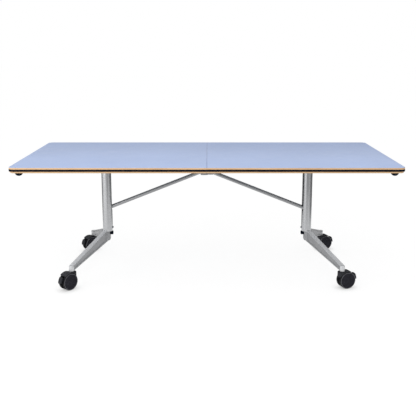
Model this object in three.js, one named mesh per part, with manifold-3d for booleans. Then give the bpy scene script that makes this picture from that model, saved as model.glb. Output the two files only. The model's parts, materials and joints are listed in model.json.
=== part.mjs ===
// A conference table that folds at the middle. Two half tops meet at a hinge. Each half stands on a
// column with a cast foot and two castors, and two crossed struts hold the columns upright.
// Millimetres, +Z up, +X along the table, +Y to the back, origin on the floor below the middle.
// The left side is drawn where it stands. The right side is the same, given half a turn about Z.

import * as THREE from "three";
import { ConvexGeometry } from "three/addons/geometries/ConvexGeometry.js";
import { mergeVertices } from "three/addons/utils/BufferGeometryUtils.js";
import Module from "manifold-3d";

const wasm = await Module();
wasm.setup();

// Fits shared by all the pieces
const SEAT_GAP = 0.3; // between two pieces that rest on each other
const PIN_CLEARANCE = 0.3; // all round a pin in its bore
const RUNNING_GAP = 1; // between pieces that turn past each other

// Table top
const TABLE_LENGTH = 2200;
const TABLE_DEPTH = 1000;
const TABLE_HEIGHT = 740;
const LAMINATE_THICKNESS = 1.2;
const CORE_THICKNESS = 30.8;
const CORNER_RADIUS = 30;
const SEAM_GAP = 0.6;

// Wooden lipping round the core, and the rubber strip set in it
const LIPPING_WIDTH = 16;
const LIPPING_UPPER = 9.3; // wood above the strip
const LIPPING_BEVEL = 8; // how far the wood below the strip slopes in
const STRIP_HEIGHT = 12;
const STRIP_DEPTH = 6;
const STRIP_PROUD = 1;

// Rubber buffers under the outer corners
const CORNER_BUFFER_DIAMETER = 46;
const CORNER_BUFFER_HEIGHT = 20;
const CORNER_BUFFER_END_INSET = 51;
const CORNER_BUFFER_SIDE_INSET = 40;

// Columns, slotted on the inner side for the struts
const LEG_SPACING = 1264; // between the column axes
const COLUMN_WIDTH = 59;
const COLUMN_DEPTH = 80;
const COLUMN_WALL = 4;
const COLUMN_BOTTOM = 246;
const HEAD_CAP = 12;
const HEAD_PLUG = 34;

// Pivot of each half top on its column head
const PIVOT_OUTSET = 25; // from the column axis, away from the middle
const PIVOT_PIN_DIAMETER = 10;
const PIVOT_BOSS_DIAMETER = 20;
const PIVOT_PIN_HEAD_DIAMETER = 16;
const PIVOT_PIN_HEAD_LENGTH = 4;
const BRACKET_THICKNESS = 3;
const BRACKET_LENGTH = 110;
const BRACKET_DEPTH = 150;
const EAR_THICKNESS = 8;
const EAR_RADIUS = 12;
const EAR_ROOT_LENGTH = 48; // of an ear where it leaves the plate
const EAR_GAP = 4; // between the column and an ear

// Struts, each from its own column to the other half top
const STRUT_DIAMETER = 23;
const STRUT_CLEARANCE = 0.8; // from the middle plane to a strut
const STRUT_PIVOT_HEIGHT = 388;
const STRUT_PIN_DIAMETER = 8;
const STRUT_PIN_RECESS = 1; // below the skin of the column
const SLOT_CLEARANCE = 1.2;
const SLOT_BELOW_PIVOT = 16;
const LUG_THICKNESS = 8;
const LUG_LENGTH = 60;
const LUG_PLATE_WIDTH = 30; // beside the lug
const LUG_BOSS_DIAMETER = 14;
const LUG_BOSS_LENGTH = 5;
const FOLD_CLEARANCE = 3; // left between a strut and the other column when folded

// Hinge at the middle, of two knuckles a side
const HINGE_PIN_DIAMETER = 8;
const KNUCKLE_RADIUS = 12;
const KNUCKLE_WIDTH = 14;
const KNUCKLE_GAP = 1;
const HINGE_STRUT_GAP = 4; // between a strut and a knuckle
const HINGE_PLATE_GAP = 18; // between a leaf's plate and the strut bracket beyond it
const HINGE_PLATE_OVERHANG = 14; // past the outer knuckle
const HINGE_PLATE_SEAM_INSET = 6;
const HINGE_WEB_LENGTH = 60;
const HINGE_CHEEK_LENGTH = 38; // how far a knuckle's block reaches from the pin

// Foot: a hub and two arms
const HUB_BOTTOM = 186;
const HUB_WIDTH = 50;
const HUB_DEPTH = 76;
const HUB_CHAMFER = 16;
const HUB_RECESS = 15; // of the hub's inner face behind the column's
const SPIGOT_LENGTH = 38;
const ARM_REACH = 383; // from the column axis to a castor, along Y
const ARM_SPREAD = 161; // from the column axis to a castor, away from the middle
const ARM_WIDTH = 30;
const ARM_FLANGE = 9; // height of the flange along the top of an arm
const ARM_WEB_WIDTH = 20;
const ARM_KEEL_WIDTH = 26;
const ARM_KEEL = 11; // height of the rib along the underside of an arm
const ARM_ROOT_TOP = 262;
const ARM_TIP_TOP = 138;
const ARM_TIP_BOTTOM = 104.5;
const TIP_BOSS_DIAMETER = 30;

// Stop buffer and clamp bolt on the inner side of each leg
const STOP_DIAMETER = 25;
const STOP_DROP = 15; // of its axis below the foot of the column
const STOP_ROUNDING = 4;
const STOP_PROUD = 4; // of the inner side of the column
const BOLT_RISE = 20; // above the foot of the column
const BOLT_DIAMETER = 8;
const BOLT_HEAD_DIAMETER = 15;
const BOLT_HEAD_FACE_DIAMETER = 10;
const BOLT_HEAD_HEIGHT = 6;
const BOLT_HEAD_RIM = 3; // straight part of the head
const BOLT_DEPTH = 16; // into the spigot

// Castors
const WHEEL_DIAMETER = 100;
const WHEEL_WIDTH = 20.5;
const WHEEL_SPACE = 13; // between the two wheels
const WHEEL_ROUNDING = 4;
const WHEEL_DISH_DIAMETER = 66;
const WHEEL_DISH_DEPTH = 2.5;
const CASTOR_TRAIL = 27;
const AXLE_DIAMETER = 8;
const AXLE_BOSS_DIAMETER = 24;
const AXLE_INSET = 2; // of its ends in the wheels
const STEM_DIAMETER = 10;
const STEM_LENGTH = 26; // in the foot
const STEM_COLLAR_DIAMETER = 22;
const STEM_COLLAR = 2.4;
const STEM_ROOT = 6; // in the hood
const HOOD_GAP = 2.5; // between the tread and the hood
const HOOD_WALL = 2.4;
const HOOD_START = 48; // degrees round the axle from the trailing side
const HOOD_END = 118; // where the round nose takes over
const NOSE_BOTTOM = 72;
const WEB_START = 95;
const WEB_END = 145;
const PEDAL_START = 0;
const PEDAL_END = 36;
const PEDAL_WALL = 12;
const PEDAL_WIDTH = 26;
const PEDAL_ARM_MARGIN = 5; // degrees left free at each end of the pedal

// How the castors stand at rest: the direction of their trail, in degrees from +X
const TRAIL_LEFT_FRONT = -130;
const TRAIL_LEFT_REAR = -138;
const TRAIL_RIGHT_FRONT = 20;
const TRAIL_RIGHT_REAR = 20;

// Levels and places that follow from these
const CORE_TOP = TABLE_HEIGHT - LAMINATE_THICKNESS;
const UNDERSIDE = CORE_TOP - CORE_THICKNESS;
const STRIP_TOP = CORE_TOP - LIPPING_UPPER;
const STRIP_BOTTOM = STRIP_TOP - STRIP_HEIGHT;
const FITTING_TOP = UNDERSIDE - SEAT_GAP;
const PLATE_LEVEL = [FITTING_TOP - BRACKET_THICKNESS, FITTING_TOP];
const COLUMN_X = -LEG_SPACING / 2;
const COLUMN_INNER = COLUMN_X + COLUMN_WIDTH / 2;
const COLUMN_STRAIGHT = (COLUMN_DEPTH - COLUMN_WIDTH) / 2; // half of the oval's straight side
const PIVOT_X = COLUMN_X - PIVOT_OUTSET;
const PIVOT_Z = FITTING_TOP - BRACKET_THICKNESS - RUNNING_GAP - PIVOT_BOSS_DIAMETER / 2;
const COLUMN_TOP = PIVOT_Z - PIVOT_BOSS_DIAMETER / 2 - HEAD_CAP;
const EAR_INNER = COLUMN_DEPTH / 2 + EAR_GAP;
const EAR_OUTER = EAR_INNER + EAR_THICKNESS;
const STRUT_PLANE = STRUT_DIAMETER / 2 + STRUT_CLEARANCE;
const FOLDED_SPACING = COLUMN_WIDTH + STRUT_DIAMETER + FOLD_CLEARANCE;
const HINGE_Z = PIVOT_Z - FOLDED_SPACING / 2 - PIVOT_OUTSET;
const KNUCKLE_START = STRUT_PLANE + STRUT_DIAMETER / 2 + HINGE_STRUT_GAP;
const KNUCKLE_MIDDLE = KNUCKLE_START + KNUCKLE_WIDTH;
const KNUCKLE_END = KNUCKLE_MIDDLE + KNUCKLE_GAP + KNUCKLE_WIDTH;
const HUB_INNER = COLUMN_INNER - HUB_RECESS;
const HUB_TOP = COLUMN_BOTTOM - SEAT_GAP;
const STOP_Z = COLUMN_BOTTOM - STOP_DROP;
const STOP_END = COLUMN_INNER + STOP_PROUD;
const BOLT_Z = COLUMN_BOTTOM + BOLT_RISE;
const WHEEL_RADIUS = WHEEL_DIAMETER / 2;
const WHEEL_INNER = WHEEL_SPACE / 2;
const WHEEL_OUTER = WHEEL_INNER + WHEEL_WIDTH;
const WEB_HALF = WHEEL_INNER - RUNNING_GAP;
const HOOD_RADIUS = WHEEL_RADIUS + HOOD_GAP;
const COLLAR_TOP = ARM_TIP_BOTTOM - SEAT_GAP;
const NOSE_TOP = COLLAR_TOP - STEM_COLLAR - SEAT_GAP;

// A strut has one length, flat and folded. Equal distances from its pivot in the column to its pivot
// on the other half top, in both positions, give where that pivot lies past the seam.
const STRUT_RISE = PIVOT_Z - STRUT_PIVOT_HEIGHT;
const HALF_REACH = LEG_SPACING / 2 + PIVOT_OUTSET;
const FOLDED_SPAN = FOLDED_SPACING + PIVOT_OUTSET;
const STRUT_END_X =
  (FOLDED_SPAN ** 2 + 2 * STRUT_RISE * HALF_REACH + HALF_REACH ** 2 - (LEG_SPACING / 2) ** 2) /
  (LEG_SPACING + 2 * STRUT_RISE + 2 * HALF_REACH);
const STRUT_LENGTH = Math.hypot(LEG_SPACING / 2 + STRUT_END_X, STRUT_RISE);
const STRUT_SLOPE = Math.atan2(STRUT_RISE, LEG_SPACING / 2 + STRUT_END_X);
const HINGE_PLATE_END = STRUT_END_X - LUG_LENGTH / 2 - HINGE_PLATE_GAP;

// Facets
const ROUND = 12; // sides of a pin or a bore
const WHEEL_SIDES = 24;
const CURVE = 6; // steps of an arc in an outline
const CORNER_CURVE = 3; // steps round a corner of the top
const OVAL_CURVE = 8; // steps of half a turn round a column
const PAST = 5; // how far a cutter runs past the face that it cuts
const MERGE_DISTANCE = 1e-4; // vertices nearer than this are one

const FINISH = {
  laminate: { color: 0xaebcdd, roughness: 0.45, metalness: 0 },
  core: { color: 0xb9986c, roughness: 0.8, metalness: 0 },
  wood: { color: 0xe2bd92, roughness: 0.55, metalness: 0 },
  rubber: { color: 0x17181c, roughness: 0.75, metalness: 0 },
  aluminium: { color: 0xb5b7b9, roughness: 0.35, metalness: 0.9 },
  casting: { color: 0xa4a6a8, roughness: 0.45, metalness: 0.9 },
  steel: { color: 0x8c8f93, roughness: 0.35, metalness: 1 },
  plastic: { color: 0x1b1c1f, roughness: 0.55, metalness: 0 },
};

// Joining and cutting

function solid(geometry) {
  const bare = geometry.clone();
  bare.deleteAttribute("normal");
  bare.deleteAttribute("uv");
  const merged = mergeVertices(bare, MERGE_DISTANCE);
  return new wasm.Manifold(
    new wasm.Mesh({
      numProp: 3,
      vertProperties: merged.attributes.position.array,
      triVerts: new Uint32Array(merged.index.array),
    }),
  );
}

function surface(made) {
  const mesh = made.getMesh();
  const geometry = new THREE.BufferGeometry();
  geometry.setAttribute("position", new THREE.BufferAttribute(mesh.vertProperties, mesh.numProp));
  geometry.setIndex(new THREE.BufferAttribute(mesh.triVerts, 1));
  geometry.computeVertexNormals();
  return geometry;
}

function join(...pieces) {
  return surface(pieces.map(solid).reduce((whole, piece) => whole.add(piece)));
}

function cut(base, ...cutters) {
  return surface(cutters.map(solid).reduce((rest, cutter) => rest.subtract(cutter), solid(base)));
}

// Plain shapes

function block([x0, x1], [y0, y1], [z0, z1]) {
  const box = new THREE.BoxGeometry(x1 - x0, y1 - y0, z1 - z0);
  return box.translate((x0 + x1) / 2, (y0 + y1) / 2, (z0 + z1) / 2);
}

function rodX(diameter, [x0, x1], y, z) {
  const rod = new THREE.CylinderGeometry(diameter / 2, diameter / 2, x1 - x0, ROUND);
  return rod.rotateZ(-Math.PI / 2).translate((x0 + x1) / 2, y, z);
}

function rodY(diameter, [y0, y1], x, z, sides = ROUND) {
  const rod = new THREE.CylinderGeometry(diameter / 2, diameter / 2, y1 - y0, sides);
  return rod.translate(x, (y0 + y1) / 2, z);
}

function rodZ(diameter, [z0, z1], x, y, sides = ROUND) {
  const rod = new THREE.CylinderGeometry(diameter / 2, diameter / 2, z1 - z0, sides);
  return rod.rotateX(Math.PI / 2).translate(x, y, (z0 + z1) / 2);
}

// An outline in the floor plane, raised from z0 to z1.
function prism(outline, [z0, z1], curveSegments = CURVE) {
  const options = { depth: z1 - z0, bevelEnabled: false, curveSegments };
  return new THREE.ExtrudeGeometry(outline, options).translate(0, 0, z0);
}

// An outline in the upright plane of X and Z, carried from y0 to y1.
function slab(outline, [y0, y1]) {
  const options = { depth: y1 - y0, bevelEnabled: false, curveSegments: CURVE };
  return new THREE.ExtrudeGeometry(outline, options).rotateX(Math.PI / 2).translate(0, y1, 0);
}

// A closed profile of [radius, height] pairs, turned about Z.
function turned(profile, sides) {
  const points = profile.map(([radius, height]) => new THREE.Vector2(radius, height));
  return new THREE.LatheGeometry(points, sides).rotateX(Math.PI / 2);
}

function hull(points) {
  return new ConvexGeometry(points);
}

// Points of a circle about an axis along Y, on the planes y0 and y1.
function ringY(radius, [y0, y1], x, z) {
  const points = [];
  for (let i = 0; i < ROUND; i++) {
    const angle = (2 * Math.PI * i) / ROUND;
    const px = x + radius * Math.cos(angle);
    const pz = z + radius * Math.sin(angle);
    points.push(new THREE.Vector3(px, y0, pz), new THREE.Vector3(px, y1, pz));
  }
  return points;
}

// Corners of a box.
function corners([x0, x1], [y0, y1], [z0, z1]) {
  const points = [];
  for (const x of [x0, x1]) {
    for (const y of [y0, y1]) {
      for (const z of [z0, z1]) {
        points.push(new THREE.Vector3(x, y, z));
      }
    }
  }
  return points;
}

// A stadium round the column axis, its long way along Y, drawn in by an inset, from z0 to z1.
function oval(inset, [z0, z1]) {
  const radius = COLUMN_WIDTH / 2 - inset;
  const shape = new THREE.Shape();
  shape.absarc(COLUMN_X, COLUMN_STRAIGHT, radius, 0, Math.PI, false);
  shape.absarc(COLUMN_X, -COLUMN_STRAIGHT, radius, Math.PI, 2 * Math.PI, false);
  shape.closePath();
  return prism(shape, [z0, z1], OVAL_CURVE);
}

// The outline of a half top, drawn in by an inset at its end and sides, ending at the given seam.
function halfOutline(inset, seam = -SEAM_GAP / 2) {
  const end = -TABLE_LENGTH / 2 + inset;
  const side = TABLE_DEPTH / 2 - inset;
  const radius = Math.max(CORNER_RADIUS - inset, 0);
  const shape = new THREE.Shape();
  shape.moveTo(seam, -side);
  shape.lineTo(seam, side);
  shape.lineTo(end + radius, side);
  if (radius > 0) {
    shape.absarc(end + radius, side - radius, radius, Math.PI / 2, Math.PI, false);
  }
  shape.lineTo(end, -side + radius);
  if (radius > 0) {
    shape.absarc(end + radius, -side + radius, radius, Math.PI, 1.5 * Math.PI, false);
  }
  shape.closePath();
  return shape;
}

function halfPrism(outline, level) {
  return prism(outline, level, CORNER_CURVE);
}

function outlinePoints(outline, z) {
  const { shape } = outline.extractPoints(CORNER_CURVE);
  return shape.map((point) => new THREE.Vector3(point.x, point.y, z));
}

// The half top

function topPanel() {
  return halfPrism(halfOutline(LIPPING_WIDTH), [UNDERSIDE, CORE_TOP]);
}

function laminate() {
  return halfPrism(halfOutline(0), [CORE_TOP, TABLE_HEIGHT]);
}

function edgeLipping() {
  const lower = hull([
    ...outlinePoints(halfOutline(0), STRIP_BOTTOM),
    ...outlinePoints(halfOutline(LIPPING_BEVEL), UNDERSIDE),
  ]);
  const behindStrip = halfPrism(halfOutline(STRIP_DEPTH), [STRIP_BOTTOM, STRIP_TOP]);
  const upper = halfPrism(halfOutline(0), [STRIP_TOP, CORE_TOP]);
  const coreOutline = halfOutline(LIPPING_WIDTH - SEAT_GAP, PAST);
  const core = halfPrism(coreOutline, [UNDERSIDE - PAST, CORE_TOP + PAST]);
  return cut(join(lower, behindStrip, upper), core);
}

function bumperStrip() {
  const level = [STRIP_BOTTOM + SEAT_GAP, STRIP_TOP - SEAT_GAP];
  const behind = halfPrism(halfOutline(STRIP_DEPTH - SEAT_GAP, PAST), [STRIP_BOTTOM, STRIP_TOP]);
  return cut(halfPrism(halfOutline(-STRIP_PROUD), level), behind);
}

function cornerBuffer(sign) {
  const radius = CORNER_BUFFER_DIAMETER / 2;
  const dome = Array.from({ length: CURVE }, (_, i) => {
    const angle = (Math.PI / 2) * (i / (CURVE - 1));
    return [radius * Math.sin(angle), -CORNER_BUFFER_HEIGHT * Math.cos(angle)];
  });
  const x = -TABLE_LENGTH / 2 + CORNER_BUFFER_END_INSET;
  const y = sign * (TABLE_DEPTH / 2 - CORNER_BUFFER_SIDE_INSET);
  return turned([...dome, [0, 0]], ROUND).translate(x, y, FITTING_TOP);
}

// The bore of the pivot pin, through both ears and the boss between them.
function pivotBore() {
  const diameter = PIVOT_PIN_DIAMETER + 2 * PIN_CLEARANCE;
  return rodY(diameter, [-EAR_OUTER - PAST, EAR_OUTER + PAST], PIVOT_X, PIVOT_Z);
}

// The bracket under a half top that holds the pivot pin in two ears.
function pivotBracket() {
  const long = [PIVOT_X - BRACKET_LENGTH / 2, PIVOT_X + BRACKET_LENGTH / 2];
  const plate = block(long, [-BRACKET_DEPTH / 2, BRACKET_DEPTH / 2], PLATE_LEVEL);
  const earRoot = [PIVOT_X - EAR_ROOT_LENGTH / 2, PIVOT_X + EAR_ROOT_LENGTH / 2];
  const ears = [
    [EAR_INNER, EAR_OUTER],
    [-EAR_OUTER, -EAR_INNER],
  ].map((y) =>
    hull([...corners(earRoot, y, PLATE_LEVEL), ...ringY(EAR_RADIUS, y, PIVOT_X, PIVOT_Z)]),
  );
  return cut(join(plate, ...ears), pivotBore());
}

// One leaf of the middle hinge: a plate under the half top and two webs down to its knuckles.
function hingeLeaf() {
  const inner = -HINGE_PLATE_SEAM_INSET;
  const half = KNUCKLE_END + HINGE_PLATE_OVERHANG;
  const plate = block([-HINGE_PLATE_END, inner], [-half, half], PLATE_LEVEL);
  const webs = [
    [KNUCKLE_START, KNUCKLE_MIDDLE],
    [-KNUCKLE_END, -KNUCKLE_MIDDLE - KNUCKLE_GAP],
  ].map((y) =>
    hull([
      ...corners([inner - HINGE_WEB_LENGTH, inner], y, PLATE_LEVEL),
      ...corners([-HINGE_CHEEK_LENGTH, 0], y, [HINGE_Z - KNUCKLE_RADIUS, HINGE_Z]),
      ...ringY(KNUCKLE_RADIUS, y, 0, HINGE_Z),
    ]),
  );
  const bore = rodY(HINGE_PIN_DIAMETER + 2 * PIN_CLEARANCE, [-half, half], 0, HINGE_Z);
  return cut(join(plate, ...webs), bore);
}

function hingePin(sign) {
  const y = [KNUCKLE_START, KNUCKLE_END].map((place) => sign * place).sort((a, b) => a - b);
  return rodY(HINGE_PIN_DIAMETER, y, 0, HINGE_Z);
}

// The lug under a half top beside the end of the other side's strut, with the boss of its bolt.
function strutBracket() {
  const near = -(STRUT_PLANE + STRUT_DIAMETER / 2 + SEAT_GAP);
  const y = [near - LUG_THICKNESS, near];
  const x = -STRUT_END_X;
  const long = [x - LUG_LENGTH / 2, x + LUG_LENGTH / 2];
  const plate = block(long, [y[0] - LUG_PLATE_WIDTH, near], PLATE_LEVEL);
  const lug = hull([...corners(long, y, PLATE_LEVEL), ...ringY(STRUT_DIAMETER / 2, y, x, PIVOT_Z)]);
  const boss = rodY(LUG_BOSS_DIAMETER, [y[0] - LUG_BOSS_LENGTH, near], x, PIVOT_Z);
  return join(plate, lug, boss);
}

// The leg

function slotCutter([z0, z1]) {
  const half = STRUT_DIAMETER / 2 + SLOT_CLEARANCE;
  return block([COLUMN_X, COLUMN_INNER + PAST], [STRUT_PLANE - half, STRUT_PLANE + half], [z0, z1]);
}

function column() {
  const tube = oval(0, [COLUMN_BOTTOM, COLUMN_TOP]);
  const inside = oval(COLUMN_WALL, [COLUMN_BOTTOM - PAST, COLUMN_TOP + PAST]);
  const slot = slotCutter([STRUT_PIVOT_HEIGHT - SLOT_BELOW_PIVOT, COLUMN_TOP + PAST]);
  const pinHole = rodY(
    STRUT_PIN_DIAMETER + 2 * PIN_CLEARANCE,
    [-COLUMN_DEPTH / 2 - PAST, COLUMN_DEPTH / 2 + PAST],
    COLUMN_X,
    STRUT_PIVOT_HEIGHT,
  );
  const boltHole = rodX(BOLT_DIAMETER + 2 * PIN_CLEARANCE, [COLUMN_X, COLUMN_INNER + PAST], 0, BOLT_Z);
  return cut(tube, inside, slot, pinHole, boltHole);
}

// The head closes the column and carries the pivot pin in a boss.
function columnHead() {
  const seat = COLUMN_TOP + SEAT_GAP;
  const cap = oval(0, [seat, COLUMN_TOP + HEAD_CAP]);
  const plug = oval(COLUMN_WALL + SEAT_GAP, [COLUMN_TOP - HEAD_PLUG, seat]);
  const bossY = [-EAR_INNER + RUNNING_GAP, EAR_INNER - RUNNING_GAP];
  const neckX = [COLUMN_X - COLUMN_WIDTH / 2, COLUMN_X];
  const neckY = [-COLUMN_STRAIGHT, COLUMN_STRAIGHT];
  const boss = hull([
    ...ringY(PIVOT_BOSS_DIAMETER / 2, bossY, PIVOT_X, PIVOT_Z),
    ...corners(neckX, neckY, [seat, COLUMN_TOP + HEAD_CAP]),
  ]);
  const slot = slotCutter([COLUMN_TOP - HEAD_PLUG - PAST, PIVOT_Z]);
  return cut(join(cap, plug, boss), slot, pivotBore());
}

function pivotPin() {
  const shank = rodY(PIVOT_PIN_DIAMETER, [-EAR_OUTER - SEAT_GAP, EAR_OUTER], PIVOT_X, PIVOT_Z);
  const headY = [-EAR_OUTER - SEAT_GAP - PIVOT_PIN_HEAD_LENGTH, -EAR_OUTER - SEAT_GAP];
  return join(shank, rodY(PIVOT_PIN_HEAD_DIAMETER, headY, PIVOT_X, PIVOT_Z));
}

function strutPin() {
  const half = COLUMN_DEPTH / 2 - STRUT_PIN_RECESS;
  return rodY(STRUT_PIN_DIAMETER, [-half, half], COLUMN_X, STRUT_PIVOT_HEIGHT);
}

// A round bar with an eye at each end, laid along its slope.
function strut() {
  const y = [STRUT_PLANE - STRUT_DIAMETER / 2, STRUT_PLANE + STRUT_DIAMETER / 2];
  const hole = STRUT_PIN_DIAMETER + 2 * PIN_CLEARANCE;
  const bar = join(
    rodX(STRUT_DIAMETER, [0, STRUT_LENGTH], STRUT_PLANE, 0),
    rodY(STRUT_DIAMETER, y, 0, 0),
    rodY(STRUT_DIAMETER, y, STRUT_LENGTH, 0),
  );
  const holeY = [y[0] - PAST, y[1] + PAST];
  const drilled = cut(bar, rodY(hole, holeY, 0, 0), rodY(hole, holeY, STRUT_LENGTH, 0));
  return drilled.rotateY(-STRUT_SLOPE).translate(COLUMN_X, 0, STRUT_PIVOT_HEIGHT);
}

// The widths and levels of an arm's three bars at a place along it: flange, web and rib.
function armBars(top, bottom) {
  return [
    [ARM_WIDTH, [top - ARM_FLANGE, top]],
    [ARM_WEB_WIDTH, [bottom + ARM_KEEL / 2, top - ARM_FLANGE / 2]],
    [ARM_KEEL_WIDTH, [bottom, bottom + ARM_KEEL]],
  ];
}

// The four corners of a bar's section.
function barSection(place, across, width, levels) {
  return [-width / 2, width / 2].flatMap((off) => {
    const point = place.clone().addScaledVector(across, off);
    return levels.map((z) => new THREE.Vector3(point.x, point.y, z));
  });
}

function footArm(sign) {
  const root = new THREE.Vector2(COLUMN_X, 0);
  const tip = tipPlace(sign);
  const along = tip.clone().sub(root).normalize();
  const across = new THREE.Vector2(-along.y, along.x);
  const tipBars = armBars(ARM_TIP_TOP, ARM_TIP_BOTTOM);
  const bars = armBars(ARM_ROOT_TOP, HUB_BOTTOM).map(([width, levels], i) => {
    const [tipWidth, tipLevels] = tipBars[i];
    return hull([
      ...barSection(root, across, width, levels),
      ...barSection(tip, across, tipWidth, tipLevels),
    ]);
  });
  return join(...bars);
}

function tipPlace(sign) {
  return new THREE.Vector2(COLUMN_X - ARM_SPREAD, sign * ARM_REACH);
}

// The hub seen from above: a block with its corners cut off.
function hubOutline() {
  const x0 = HUB_INNER - HUB_WIDTH;
  const y = HUB_DEPTH / 2;
  const flat = y - HUB_CHAMFER;
  const shape = new THREE.Shape();
  shape.moveTo(HUB_INNER, -flat);
  shape.lineTo(HUB_INNER, flat);
  shape.lineTo(HUB_INNER - HUB_CHAMFER, y);
  shape.lineTo(x0 + HUB_CHAMFER, y);
  shape.lineTo(x0, flat);
  shape.lineTo(x0, -flat);
  shape.lineTo(x0 + HUB_CHAMFER, -y);
  shape.lineTo(HUB_INNER - HUB_CHAMFER, -y);
  shape.closePath();
  return shape;
}

// One casting: the hub under the column, the spigot in it and the two arms with their castor bosses.
function foot() {
  const hub = prism(hubOutline(), [HUB_BOTTOM, HUB_TOP]);
  const bosses = [-1, 1].map((sign) => {
    const tip = tipPlace(sign);
    return rodZ(TIP_BOSS_DIAMETER, [ARM_TIP_BOTTOM, ARM_TIP_TOP], tip.x, tip.y);
  });
  const seat = oval(-SEAT_GAP, [HUB_TOP, ARM_ROOT_TOP + PAST]);
  const body = cut(join(hub, footArm(-1), footArm(1), ...bosses), seat);
  const spigot = oval(COLUMN_WALL + SEAT_GAP, [HUB_TOP, COLUMN_BOTTOM + SPIGOT_LENGTH]);
  const boltHole = rodX(
    BOLT_DIAMETER + 2 * PIN_CLEARANCE,
    [COLUMN_INNER - COLUMN_WALL - BOLT_DEPTH - PAST, COLUMN_INNER],
    0,
    BOLT_Z,
  );
  const boreLevel = [ARM_TIP_BOTTOM - PAST, ARM_TIP_BOTTOM + STEM_LENGTH + SEAT_GAP];
  const stemBores = [-1, 1].map((sign) => {
    const tip = tipPlace(sign);
    return rodZ(STEM_DIAMETER + 2 * PIN_CLEARANCE, boreLevel, tip.x, tip.y);
  });
  return cut(join(body, spigot), boltHole, ...stemBores);
}

// A profile of [radius, length] pairs turned about an axis along +X from the given point.
function turnedX(profile, x, z) {
  return turned(profile, ROUND).rotateY(Math.PI / 2).translate(x, 0, z);
}

function stopBuffer() {
  const radius = STOP_DIAMETER / 2;
  const start = HUB_INNER + SEAT_GAP;
  const length = STOP_END - start;
  const profile = [
    [0, 0],
    [radius, 0],
    [radius, length - STOP_ROUNDING],
    [radius - STOP_ROUNDING, length],
    [0, length],
  ];
  return turnedX(profile, start, STOP_Z);
}

function clampBolt() {
  const start = COLUMN_INNER - COLUMN_WALL - BOLT_DEPTH;
  const shank = COLUMN_INNER + SEAT_GAP - start;
  const profile = [
    [0, 0],
    [BOLT_DIAMETER / 2, 0],
    [BOLT_DIAMETER / 2, shank],
    [BOLT_HEAD_DIAMETER / 2, shank],
    [BOLT_HEAD_DIAMETER / 2, shank + BOLT_HEAD_RIM],
    [BOLT_HEAD_FACE_DIAMETER / 2, shank + BOLT_HEAD_HEIGHT],
    [0, shank + BOLT_HEAD_HEIGHT],
  ];
  return turnedX(profile, start, BOLT_Z);
}

// A castor, drawn with its swivel axis on Z and its trail along +X

// Part of a ring round the axle, between two radii and two angles in degrees from the trailing side.
function wheelSector([r0, r1], [start, end]) {
  const from = THREE.MathUtils.degToRad(start);
  const to = THREE.MathUtils.degToRad(end);
  const shape = new THREE.Shape();
  shape.absarc(CASTOR_TRAIL, WHEEL_RADIUS, r1, from, to, false);
  shape.absarc(CASTOR_TRAIL, WHEEL_RADIUS, r0, to, from, true);
  shape.closePath();
  return shape;
}

// The hood over the wheels, with a round nose about the stem and a web down to the axle.
function castorHousing() {
  const width = [-WHEEL_OUTER, WHEEL_OUTER];
  const webY = [-WEB_HALF, WEB_HALF];
  const hoodRadii = [HOOD_RADIUS, HOOD_RADIUS + HOOD_WALL];
  const webRadii = [AXLE_DIAMETER / 2, HOOD_RADIUS + HOOD_WALL / 2];
  const hood = slab(wheelSector(hoodRadii, [HOOD_START, HOOD_END]), width);
  const web = slab(wheelSector(webRadii, [WEB_START, WEB_END]), webY);
  const axleBoss = rodY(AXLE_BOSS_DIAMETER, webY, CASTOR_TRAIL, WHEEL_RADIUS);
  const root = NOSE_TOP - STEM_ROOT;
  const nose = rodZ(2 * WHEEL_OUTER, [NOSE_BOTTOM, NOSE_TOP], 0, 0, WHEEL_SIDES);
  const past = [-WHEEL_OUTER - PAST, WHEEL_OUTER + PAST];
  const treads = rodY(2 * HOOD_RADIUS, past, CASTOR_TRAIL, WHEEL_RADIUS, WHEEL_SIDES);
  const collarSeat = rodZ(STEM_COLLAR_DIAMETER + 2 * RUNNING_GAP, [NOSE_TOP, NOSE_TOP + PAST], 0, 0);
  const axleBore = rodY(AXLE_DIAMETER + 2 * PIN_CLEARANCE, width, CASTOR_TRAIL, WHEEL_RADIUS);
  const stemBore = rodZ(STEM_DIAMETER + 2 * PIN_CLEARANCE, [root, NOSE_TOP + PAST], 0, 0);
  return cut(join(hood, web, axleBoss, cut(nose, treads)), axleBore, stemBore, collarSeat);
}

function castorStem() {
  const root = NOSE_TOP - STEM_ROOT + SEAT_GAP;
  const pin = rodZ(STEM_DIAMETER, [root, ARM_TIP_BOTTOM + STEM_LENGTH], 0, 0);
  const collar = rodZ(STEM_COLLAR_DIAMETER, [NOSE_TOP + SEAT_GAP, COLLAR_TOP], 0, 0);
  return join(pin, collar);
}

function castorAxle() {
  const half = WHEEL_OUTER - WHEEL_DISH_DEPTH - AXLE_INSET;
  return rodY(AXLE_DIAMETER, [-half, half], CASTOR_TRAIL, WHEEL_RADIUS);
}

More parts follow.
